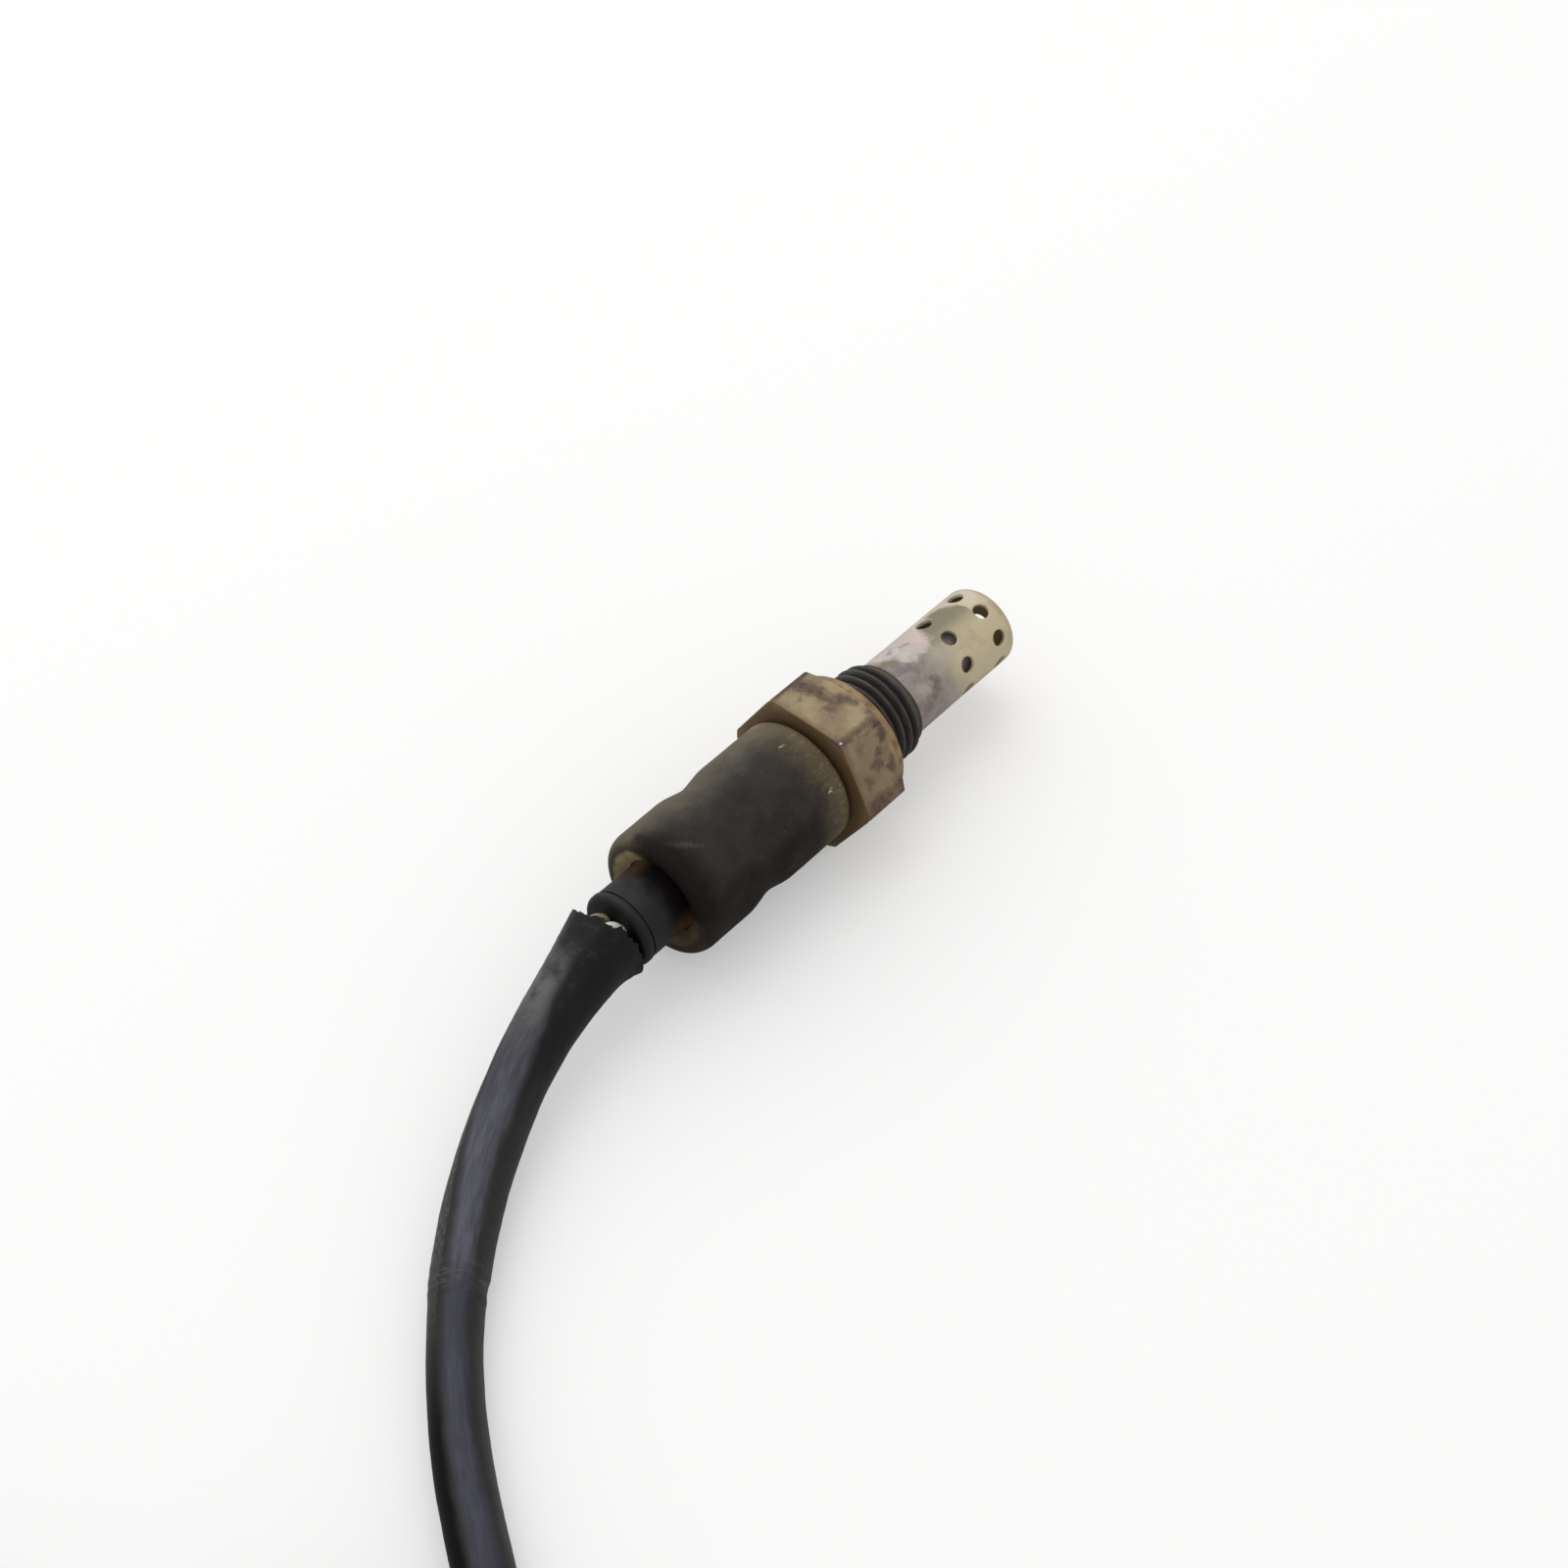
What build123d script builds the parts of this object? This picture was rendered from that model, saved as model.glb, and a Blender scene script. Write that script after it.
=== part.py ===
"""Heated oxygen sensor with an M12 x 1.25 thread, its lead and its plug.

The sensor lies on one flat of its hexagon: +X runs along its axis towards the perforated tip, +Z is up,
and the origin is under the middle of the sensor's own length, on the surface that it rests on.
Stations are distances along the axis from the hexagon's rear face, positive towards the tip.
All sizes are in millimetres.
"""

import math
import os

from build123d import *

os.makedirs("parts", exist_ok=True)

# ---------------------------------------------------------------- driving dimensions
sensor_length = 66.3            # from the ends of the torn lead's wires to the tip
fit_gap = 0.05                  # clearance between parts that are pressed or crimped together
loose_gap = 0.15                # clearance between parts that are only trapped

# metal shell
hex_across_flats = 17.0
hex_height = 6.9
hex_face_diameter = 16.06       # circle that the front chamfer leaves on the hexagon
hex_rear_chamfer = 0.35
thread_diameter = 12.0
thread_length = 4.6             # full-diameter part of the thread
relief_diameter = 10.7
relief_length = 1.5
nose_length = 1.4               # tapered end of the thread
nose_diameter = 10.9
nose_lip = 0.6                  # rolled lip that holds the two shields
neck_length = 4.4               # crimped neck behind the hexagon
neck_wall = 0.65
crimp_lip = 0.5
crimp_opening = 6.8
front_bore_diameter = 7.4
seat_station = 2.5              # shoulder that carries the ceramic element

# seat washer
washer_outer = 16.06
washer_inner = 11.4
washer_thickness = 1.1

# perforated shields
shield_diameter = 9.5
shield_wall = 0.4
shield_corner = 1.0
shield_hole = 1.65
shield_hole_count = 8
shield_hole_phase = 16.46       # angle of the first hole from the upward vertical
tip_row_inset = 2.94            # tip to the first row of holes
row_spacing = 5.86
tip_opening = 2.8
flange_diameter = 10.0
inner_shield_diameter = 7.0
inner_shield_wall = 0.3
inner_tip_inset = 2.5           # tip of the outer shield to that of the inner one
inner_corner = 0.8
inner_hole = 1.2
inner_hole_count = 6
inner_hole_station = 17.5
inner_tip_opening = 1.4

# ceramic element and its packing
element_diameter = 4.4
element_tip_diameter = 3.9
element_flange_diameter = 9.2
element_flange_length = 2.4
element_rear_diameter = 5.2
element_rear_length = 5.8
element_bore = 2.4
element_tip_inset = 3.0         # inner shield's tip to the element's tip
element_tip_wall = 1.5
gasket_thickness = 0.3
talc_length = 1.8
packing_length = 1.5
crimp_ring_length = 0.4

# heater and contacts
heater_diameter = 1.6
heater_tip_inset = 0.8          # end of the element's bore to the heater's tip
heater_rear_station = -7.6
contact_wall = 0.3
inner_contact_length = 4.0
outer_contact_length = 2.4
terminal_diameter = 1.0
terminal_plate = 0.4
terminal_width = 0.8

# rear insulator, casing and grommet
insulator_station = -8.4
insulator_length = 6.6
insulator_diameter = 9.2
insulator_flange = 1.2
holder_length = 1.8
casing_diameter = 12.4
casing_wall = 0.5
casing_length = 21.3
casing_lip_opening = 9.4
grommet_length = 5.2            # part of the grommet inside the casing
tail_diameter = 8.7
tail_length = 8.45              # part of the grommet behind the casing
tail_band_length = 1.15
tail_band_diameter = 8.9
tail_groove_diameter = 8.4
tail_groove_length = 0.3
tail_rim_radius = 0.7
tail_flange_diameter = 11.2     # flange of the grommet against the casing's rear end
tail_flange_thickness = 0.9
tail_root_radius = 0.8

# rubber boot
boot_diameter = 15.12
boot_waist_diameter = 14.16
boot_rear_diameter = 15.2
boot_front_gap = 0.5            # hexagon to the boot's front edge
boot_waist_station = -12.8
boot_waist_reach = 3.6          # half the length of the waist's curve
boot_overhang = 2.05            # boot past the end of the casing
boot_front_radius = 0.8
boot_mouth_diameter = 11.7      # opening in the lip behind the casing
boot_rear_radius = 1.15
boot_mouth_radius = 0.5

# lead wires
wire_count = 4
wire_diameter = 1.3
wire_circle = 3.0               # diameter of the circle that the wires stand on
wire_seat_depth = 1.2           # wire inside the rear end of the insulator
wire_end_gap = 2.0              # wire past the torn mouth of the sheath

# cable
cable_diameter = 5.7
sheath_gap = 1.75               # grommet's tail to the middle of the torn mouth
mouth_diameter = 9.0
mouth_wall = 0.7
mouth_length = 8.0
mouth_depth = 2.6
floor_clearance = 0.1
mouth_run = 9.4                 # first straight run of the lead's route
mouth_fall = 1.8                # how far it drops
coil_radius = 22.0
coil_centre = (-118.0, -47.0)
coil_entry_angle = 322.0
coil_exit_angle = 180.0
tie_width = 3.6
tie_thickness = 0.8
tie_angle = 250.0
tie_head_height = 4.4
tie_head_thickness = 1.6

# plug
plug_length = 12.0
plug_width = 13.5
plug_corner = 1.8
nose_width = 10.4
plug_nose_length = 11.0
cavity_pitch = 4.4
cavity_width = 1.7
seal_bore = 3.4
seal_length = 5.0
seal_rib = 0.12
seal_steps = 5                  # ribs and the grooves between them
retainer_thickness = 1.4
retainer_rim = 0.9
face_seal_width = 2.4
face_seal_thickness = 0.9
latch_width = 4.6
latch_thickness = 1.1
latch_lift = 1.3
latch_reach = 9.0
latch_overlap = 2.0             # latch arm on the body
catch_height = 0.8
catch_length = 2.4
catch_slope = 0.9
plug_wire_length = 12.0
receptacle_width = 1.5
receptacle_length = 7.0
receptacle_wall = 0.25

# ---------------------------------------------------------------- worked-out stations and places
casing_end = -casing_length
lip_front = casing_end + casing_wall
tail_end = casing_end - tail_length
boot_end = casing_end - boot_overhang
mouth_station = tail_end - sheath_gap
wire_end = mouth_station - wire_end_gap
tip_station = wire_end + sensor_length
thread_start = hex_height + relief_length
thread_end = thread_start + thread_length
shank_end = thread_end + nose_length
inner_tip_station = tip_station - inner_tip_inset
shield_flange_front = shank_end - nose_lip
shield_flange_rear = shield_flange_front - shield_wall
inner_flange_rear = shield_flange_rear - inner_shield_wall
element_front = seat_station - gasket_thickness
element_flange_rear = element_front - element_flange_length
element_rear = element_flange_rear - element_rear_length
element_tip = inner_tip_station - element_tip_inset
talc_rear = element_flange_rear - talc_length
packing_rear = talc_rear - packing_length
crimp_ring_rear = packing_rear - crimp_ring_length
neck_end = -neck_length
insulator_rear = insulator_station - insulator_length
wire_start = insulator_rear + wire_seat_depth

casing_inner = casing_diameter / 2 - casing_wall
cavity_radius = casing_inner - fit_gap - neck_wall
axis_height = hex_across_flats / 2
axis_shift = -(tip_station + wire_end) / 2      # the origin is under the middle of the sensor

axis_origin = (axis_shift, 0, axis_height)
sensor_axis = Axis(axis_origin, (1, 0, 0))
profile_plane = Plane(origin=axis_origin, x_dir=(1, 0, 0), z_dir=(0, -1, 0))


def station(distance):
    """Plane square to the sensor's axis: local x is +Y and local y is +Z."""
    return Plane(origin=(axis_shift + distance, 0, axis_height), x_dir=(0, 1, 0), z_dir=(1, 0, 0))


def turned(outline, mode=Mode.ADD):
    """Revolve a closed outline of (station, radius) points about the sensor's axis."""
    with BuildSketch(profile_plane) as profile:
        with BuildLine():
            Polyline(*outline, close=True)
        make_face()
    revolve(profile.sketch, axis=sensor_axis, mode=mode)


def collar(start, end, inner, outer, mode=Mode.ADD):
    """Ring of square section between two stations."""
    turned([(start, inner), (end, inner), (end, outer), (start, outer)], mode)


def disc(start, end, radius, mode=Mode.ADD):
    """Solid disc between two stations."""
    collar(start, end, 0, radius, mode)


def ring_holes(distance, diameter, count, phase, length):
    """Radial holes through one wall, evenly spaced about the sensor's axis."""
    for index in range(count):
        angle = math.radians(phase + 360 * index / count)
        outward = (0, -math.sin(angle), math.cos(angle))
        centre = (axis_shift + distance, 0, axis_height)
        with BuildSketch(Plane(origin=centre, x_dir=(1, 0, 0), z_dir=outward)) as hole:
            Circle(diameter / 2)
        extrude(hole.sketch, amount=length, mode=Mode.SUBTRACT)


def save(part, name):
    """Label a finished piece and write its STEP file."""
    part.label = name
    export_step(part, f"parts/{name}.step")


# ---------------------------------------------------------------- metal shell
hex_corner_radius = hex_across_flats / 2 / math.cos(math.radians(30))
chamfer_drop = (hex_corner_radius - hex_face_diameter / 2) * math.tan(math.radians(30))

with BuildPart() as shell:
    with BuildSketch(station(0)):
        RegularPolygon(radius=hex_across_flats / 2, side_count=6, major_radius=False)
    extrude(amount=hex_height)
    outside = hex_corner_radius + 1
    # front chamfer: a cone that leaves a round face against the washer
    turned(
        [
            (hex_height, hex_face_diameter / 2),
            (hex_height - chamfer_drop, hex_corner_radius),
            (hex_height - chamfer_drop, outside),
            (hex_height, outside),
        ],
        Mode.SUBTRACT,
    )
    # rear chamfer: only the six corners are broken
    turned(
        [
            (0, hex_corner_radius - hex_rear_chamfer),
            (hex_rear_chamfer, hex_corner_radius),
            (hex_rear_chamfer, outside),
            (0, outside),
        ],
        Mode.SUBTRACT,
    )
    disc(hex_height, thread_start, relief_diameter / 2)
    disc(thread_start, thread_end, thread_diameter / 2)
    turned(
        [
            (thread_end, 0),
            (shank_end, 0),
            (shank_end, nose_diameter / 2),
            (thread_end, thread_diameter / 2),
        ]
    )
    disc(neck_end, 0, casing_inner - fit_gap)
    # bores, from the crimped neck to the nose
    disc(neck_end, neck_end + crimp_lip, crimp_opening / 2, Mode.SUBTRACT)
    disc(neck_end + crimp_lip, seat_station, cavity_radius, Mode.SUBTRACT)
    disc(seat_station, inner_flange_rear, front_bore_diameter / 2, Mode.SUBTRACT)
    disc(inner_flange_rear, shield_flange_front, flange_diameter / 2, Mode.SUBTRACT)
    disc(shield_flange_front, shank_end, shield_diameter / 2 + fit_gap, Mode.SUBTRACT)
save(shell.part, "shell")

# ---------------------------------------------------------------- seat washer
with BuildPart() as seat_washer:
    collar(hex_height, hex_height + washer_thickness, washer_inner / 2, washer_outer / 2)
    fillet(seat_washer.edges().filter_by(GeomType.CIRCLE), radius=washer_thickness * 0.3)
save(seat_washer.part, "seat_washer")


# ---------------------------------------------------------------- perforated shields
def drawn_cup(flange_rear, tip, diameter, wall, corner, opening):
    """Deep-drawn cup with a flange at its open end and a round opening in its domed tip."""
    outer = diameter / 2
    flange = flange_diameter / 2 - fit_gap
    with BuildSketch(profile_plane) as profile:
        with BuildLine():
            rim = Line((flange_rear, outer - wall), (flange_rear, flange))
            back = Line(rim @ 1, (flange_rear + wall, flange))
            face = Line(back @ 1, (flange_rear + wall, outer))
            side = Line(face @ 1, (tip - corner, outer))
            bend = RadiusArc(side @ 1, (tip, outer - corner), corner)
            end = Line(bend @ 1, (tip, opening / 2))
            lip = Line(end @ 1, (tip - wall, opening / 2))
            floor = Line(lip @ 1, (tip - wall, outer - corner))
            inner_bend = RadiusArc(floor @ 1, (tip - corner, outer - wall), wall - corner)
            Line(inner_bend @ 1, rim @ 0)
        make_face()
    revolve(profile.sketch, axis=sensor_axis)


with BuildPart() as outer_shield:
    drawn_cup(
        shield_flange_rear, tip_station, shield_diameter, shield_wall, shield_corner, tip_opening
    )
    for row in range(2):
        row_station = tip_station - tip_row_inset - row * row_spacing
        ring_holes(row_station, shield_hole, shield_hole_count, shield_hole_phase, shield_diameter)
save(outer_shield.part, "outer_shield")

with BuildPart() as inner_shield:
    drawn_cup(
        inner_flange_rear,
        inner_tip_station,
        inner_shield_diameter,
        inner_shield_wall,
        inner_corner,
        inner_tip_opening,
    )
    ring_holes(inner_hole_station, inner_hole, inner_hole_count, 0, inner_shield_diameter)
save(inner_shield.part, "inner_shield")

# ---------------------------------------------------------------- ceramic element and its packing
bore_end = element_tip - element_tip_wall
dome = element_tip_diameter / 2

with BuildPart() as zirconia_element:
    with BuildSketch(profile_plane):
        with BuildLine():
            rear_face = Line((element_rear, element_bore / 2), (element_rear, element_rear_diameter / 2))
            rear_tube = Line(rear_face @ 1, (element_flange_rear, element_rear_diameter / 2))
            flange_back = Line(rear_tube @ 1, (element_flange_rear, element_flange_diameter / 2))
            flange_rim = Line(flange_back @ 1, (element_front, element_flange_diameter / 2))
            flange_face = Line(flange_rim @ 1, (element_front, element_diameter / 2))
            taper = Line(flange_face @ 1, (element_tip - dome, dome))
            tip_dome = RadiusArc(taper @ 1, (element_tip, 0), dome)
            centre = Line(tip_dome @ 1, (bore_end, 0))
            bore_floor = Line(centre @ 1, (bore_end, element_bore / 2))
            Line(bore_floor @ 1, rear_face @ 0)
        make_face()
    revolve(axis=sensor_axis)
save(zirconia_element.part, "zirconia_element")

with BuildPart() as element_gasket:
    collar(element_front, seat_station, front_bore_diameter / 2 + loose_gap, cavity_radius - fit_gap)
save(element_gasket.part, "element_gasket")

with BuildPart() as talc_ring:
    talc_bore = element_rear_diameter / 2 + fit_gap
    collar(talc_rear, element_flange_rear, talc_bore, cavity_radius - fit_gap)
save(talc_ring.part, "talc_ring")

with BuildPart() as packing_sleeve:
    collar(packing_rear, talc_rear, talc_bore, cavity_radius - fit_gap)
    chamfer(packing_sleeve.edges().filter_by(GeomType.CIRCLE).sort_by(SortBy.RADIUS)[-2:], length=0.2)
save(packing_sleeve.part, "packing_sleeve")

with BuildPart() as crimp_ring:
    collar(crimp_ring_rear, packing_rear, crimp_opening / 2 + fit_gap, cavity_radius - fit_gap)
save(crimp_ring.part, "crimp_ring")

# ---------------------------------------------------------------- heater and contacts
heater_tip = bore_end - heater_tip_inset

with BuildPart() as heater_rod:
    disc(heater_rear_station, heater_tip, heater_diameter / 2)
    chamfer(heater_rod.edges().filter_by(GeomType.CIRCLE), length=heater_diameter * 0.15)
save(heater_rod.part, "heater_rod")

inner_sleeve_outer = element_bore / 2 - fit_gap
with BuildPart() as inner_contact:
    sleeve_front = element_rear + inner_contact_length
    collar(element_rear, sleeve_front, inner_sleeve_outer - contact_wall, inner_sleeve_outer)
    cap_outer = element_rear_diameter / 2
    cap_rear = element_rear - contact_wall
    collar(cap_rear, element_rear, inner_sleeve_outer - contact_wall, cap_outer)
save(inner_contact.part, "inner_contact")

outer_sleeve_inner = element_rear_diameter / 2 + fit_gap
outer_sleeve_outer = outer_sleeve_inner + contact_wall
with BuildPart() as outer_contact:
    sleeve_front = element_rear + outer_contact_length
    collar(element_rear, sleeve_front, outer_sleeve_inner, outer_sleeve_outer)
save(outer_contact.part, "outer_contact")


def wire_place(index):
    """Angle and centre of one wire, or of its terminal, in a plane square to the axis."""
    angle = math.radians(45 + 360 * index / wire_count)
    return angle, (wire_circle / 2 * math.cos(angle), wire_circle / 2 * math.sin(angle))


pin_end = wire_start + fit_gap
tongue_bases = [
    (heater_diameter / 2 + fit_gap, cap_rear - loose_gap),
    (outer_sleeve_outer + fit_gap, element_rear + 0.6 * outer_contact_length),
    (heater_diameter / 2 + fit_gap, cap_rear - loose_gap),
    (cap_outer - terminal_plate - fit_gap, cap_rear - fit_gap),
]
for index, (tongue_radius, tongue_station) in enumerate(tongue_bases):
    angle, centre = wire_place(index)
    radial_plane = Plane(
        origin=axis_origin,
        x_dir=(1, 0, 0),
        z_dir=(0, -math.sin(angle), math.cos(angle)),
    )
    plate_inner = min(tongue_radius, wire_circle / 2 - terminal_diameter / 2)
    plate_outer = max(tongue_radius + terminal_plate, wire_circle / 2 + terminal_diameter / 2)
    with BuildPart() as terminal:
        with BuildSketch(station(insulator_station)):
            with Locations(centre):
                Circle(terminal_diameter / 2)
        extrude(amount=pin_end - insulator_station)
        # radial plate and the tongue that springs against the contact
        with BuildSketch(radial_plane):
            with Locations((insulator_station + terminal_plate / 2, (plate_inner + plate_outer) / 2)):
                Rectangle(terminal_plate, plate_outer - plate_inner)
            with Locations(((insulator_station + tongue_station) / 2, tongue_radius + terminal_plate / 2)):
                Rectangle(tongue_station - insulator_station, terminal_plate)
        extrude(amount=terminal_width / 2, both=True)
    save(terminal.part, f"terminal_{index + 1}")

# ---------------------------------------------------------------- insulator, casing, grommet, boot
with BuildPart() as terminal_insulator:
    disc(insulator_rear, insulator_station, insulator_diameter / 2)
    disc(
        insulator_station - insulator_flange,
        insulator_station,
        casing_inner - loose_gap,
    )
    for index in range(wire_count):
        with BuildSketch(station(insulator_rear)):
            with Locations(wire_place(index)[1]):
                Circle(wire_diameter / 2 + fit_gap)
        extrude(amount=insulator_length, mode=Mode.SUBTRACT)
save(terminal_insulator.part, "terminal_insulator")

with BuildPart() as insulator_spring:
    spring_front = insulator_station - insulator_flange - fit_gap
    spring_rear = spring_front - holder_length
    collar(spring_rear, spring_front, insulator_diameter / 2 + fit_gap, casing_inner - fit_gap)
    # the gap of the split ring
    with BuildSketch(station(spring_rear)):
        with Locations((casing_inner, 0)):
            Rectangle(casing_inner, 1.0)
    extrude(amount=holder_length, mode=Mode.SUBTRACT)
save(insulator_spring.part, "insulator_spring")

with BuildPart() as casing:
    collar(casing_end, 0, casing_inner, casing_diameter / 2)
    collar(casing_end, lip_front, casing_lip_opening / 2, casing_inner)
    rear_rim = casing.edges().filter_by(GeomType.CIRCLE).group_by(Axis.X)[0].sort_by(SortBy.RADIUS)[-1]
    fillet(rear_rim, radius=casing_wall * 0.9)
save(casing.part, "casing")

with BuildPart() as grommet:
    grommet_front = lip_front + grommet_length
    groove_front = tail_end + tail_band_length + tail_groove_length
    disc(lip_front, grommet_front, casing_inner - fit_gap)
    disc(groove_front, lip_front, tail_diameter / 2)
    disc(tail_end + tail_band_length, groove_front, tail_groove_diameter / 2)
    disc(tail_end, tail_end + tail_band_length, tail_band_diameter / 2)
    flange_rear = casing_end - tail_flange_thickness
    disc(flange_rear, casing_end - fit_gap, tail_flange_diameter / 2)
    tail_rim = grommet.edges().filter_by(GeomType.CIRCLE).group_by(Axis.X)[0]
    fillet(tail_rim, radius=tail_rim_radius)
    root_place = station(flange_rear).origin
    circles = grommet.edges().filter_by(GeomType.CIRCLE)
    root_edges = circles.filter_by(lambda edge: (edge.arc_center - root_place).length < fit_gap / 2)
    fillet(root_edges.sort_by(SortBy.RADIUS)[0], radius=tail_root_radius)
    for index in range(wire_count):
        with BuildSketch(station(tail_end)):
            with Locations(wire_place(index)[1]):
                Circle(wire_diameter / 2 + fit_gap)
        extrude(amount=grommet_front - tail_end, mode=Mode.SUBTRACT)
save(grommet.part, "grommet")

with BuildPart() as boot:
    bore = casing_diameter / 2 + fit_gap
    waist = (boot_waist_station, boot_waist_diameter / 2)
    with BuildSketch(profile_plane):
        with BuildLine():
            front = Line((-boot_front_gap, bore), (-boot_front_gap, boot_diameter / 2))
            front_side = Line(front @ 1, (waist[0] + boot_waist_reach, boot_diameter / 2))
            waist_curve = Spline(
                front_side @ 1,
                waist,
                (waist[0] - boot_waist_reach, boot_rear_diameter / 2),
                tangents=((-1, 0), (-1, 0)),
            )
            rear_side = Line(waist_curve @ 1, (boot_end, boot_rear_diameter / 2))
            rear_face = Line(rear_side @ 1, (boot_end, boot_mouth_diameter / 2))
            lip_bore = Line(rear_face @ 1, (casing_end - fit_gap, boot_mouth_diameter / 2))
            lip_face = Line(lip_bore @ 1, (casing_end - fit_gap, bore))
            Line(lip_face @ 1, front @ 0)
        make_face()
    revolve(axis=sensor_axis)
    boot_ends = boot.edges().filter_by(GeomType.CIRCLE).group_by(Axis.X)
    fillet(boot_ends[-1].sort_by(SortBy.RADIUS)[-1], radius=boot_front_radius)
    fillet(boot_ends[0].sort_by(SortBy.RADIUS)[-1], radius=boot_rear_radius)
    fillet(boot_ends[0].sort_by(SortBy.RADIUS)[0], radius=boot_mouth_radius)
save(boot.part, "boot")

# ---------------------------------------------------------------- lead wires
for index in range(wire_count):
    with BuildPart() as lead_wire:
        with BuildSketch(station(wire_end)):
            with Locations(wire_place(index)[1]):
                Circle(wire_diameter / 2)
        extrude(amount=wire_start - wire_end)
    save(lead_wire.part, f"lead_wire_{index + 1}")

# ---------------------------------------------------------------- cable
lying_height = cable_diameter / 2 + floor_clearance
top_height = lying_height + cable_diameter + floor_clearance
plug_axis_height = plug_width / 2
mouth_x = axis_shift + mouth_station


def on_coil(angle, height):
    """Point on the middle line of the coil's ring."""
    turn = math.radians(angle)
    return (
        coil_centre[0] + coil_radius * math.cos(turn),
        coil_centre[1] + coil_radius * math.sin(turn),
        height,
    )


# route of the cable from the torn mouth down to the surface and on to the coil
mouth_height = axis_height - 0.1
lead_route = [
    (mouth_x, 0.1, mouth_height),
    (mouth_x - mouth_run, -1.0, mouth_height - mouth_fall),
    (-55.6, -7.0, 4.2),
    (-68.0, -15.4, lying_height),
    (-77.9, -25.8, lying_height),
    (-85.9, -37.7, lying_height),
    (-94.9, -52.4, lying_height),
    on_coil(coil_entry_angle, lying_height),
]

# route from the top of the coil to the end of the sheath behind the plug
tail_route = [
    on_coil(coil_exit_angle, top_height),
    (-139.7, -37.5, top_height - 0.25),
    (-138.6, -29.0, plug_axis_height),
    (-137.0, -21.5, plug_axis_height),
]


def corner_radii(route):
    """Largest tangent arcs that each pair of runs leaves room for."""
    points = [Vector(*point) for point in route]
    radii = []
    for before, corner, after in zip(points, points[1:], points[2:]):
        turn = math.radians((corner - before).get_angle(after - corner))
        shorter = min((corner - before).length, (after - corner).length)
        radii.append(0.45 * shorter / math.tan(turn / 2))
    return radii


def cable_along(route):
    """Sweep the cable's section along straight runs joined by tangent arcs."""
    radii = corner_radii(route)
    start = Vector(*route[0])
    heading = Vector(*route[1]) - start
    with BuildLine() as path:
        FilletPolyline(*route, radius=radii)
    with BuildSketch(Plane(origin=start, z_dir=heading)) as section:
        Circle(cable_diameter / 2)
    sweep(section.sketch, path=path.wire())
    length = path.wire().length
    print("cable stretch", round(length, 2), "radii", [round(radius, 1) for radius in radii])
    return length


# outer shape of the coil: a turn and two fifths, the second layer on the first
ring_width = cable_diameter + 0.4
ring_height = top_height + cable_diameter / 2 + floor_clearance

with BuildPart() as coil_ring:
    with BuildSketch(Plane(origin=(*coil_centre, 0), x_dir=(1, 0, 0), z_dir=(0, -1, 0))):
        with Locations((coil_radius, ring_height / 2)):
            RectangleRounded(ring_width, ring_height, ring_width * 0.4)
    revolve(axis=Axis((*coil_centre, 0), (0, 0, 1)))

tie_centre = Vector(*on_coil(tie_angle, ring_height / 2))
tie_turn = math.radians(tie_angle)
tie_tangent = (-math.sin(tie_turn), math.cos(tie_turn), 0)
tie_outward = (math.cos(tie_turn), math.sin(tie_turn), 0)

with BuildPart() as coil_tie:
    tie_plane = Plane(origin=tie_centre, x_dir=tie_outward, z_dir=tie_tangent)
    with BuildSketch(tie_plane):
        RectangleRounded(ring_width + 2 * tie_thickness, ring_height, ring_width * 0.45)
        RectangleRounded(
            ring_width, ring_height - 2 * tie_thickness, ring_width * 0.38, mode=Mode.SUBTRACT
        )
    extrude(amount=tie_width / 2, both=True)
    # the tie's locking head, on the outside
    with BuildSketch(tie_plane):
        with Locations((ring_width / 2 + (tie_thickness + tie_head_thickness) / 2, 0)):
            Rectangle(tie_head_thickness, tie_head_height)
    extrude(amount=tie_width * 0.7, both=True)
save(coil_tie.part, "coil_tie")

with BuildPart() as cable_coil:
    add(coil_ring.part)
    add(coil_tie.part, mode=Mode.SUBTRACT)
save(cable_coil.part, "cable_coil")

mouth_origin = Vector(*lead_route[0])
mouth_heading = (Vector(*lead_route[1]) - mouth_origin).normalized()
mouth_side = mouth_heading.cross(Vector(0, 0, 1)).normalized()
mouth_plane = Plane(origin=mouth_origin, x_dir=mouth_heading, z_dir=mouth_side)
mouth_axis = Axis(mouth_origin, mouth_heading)
tears = [(20.0, 1.6, 1.3), (95.0, 1.2, 0.9), (150.0, 2.0, 1.6), (235.0, 1.4, 1.1), (300.0, 1.8, 1.5)]

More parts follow.
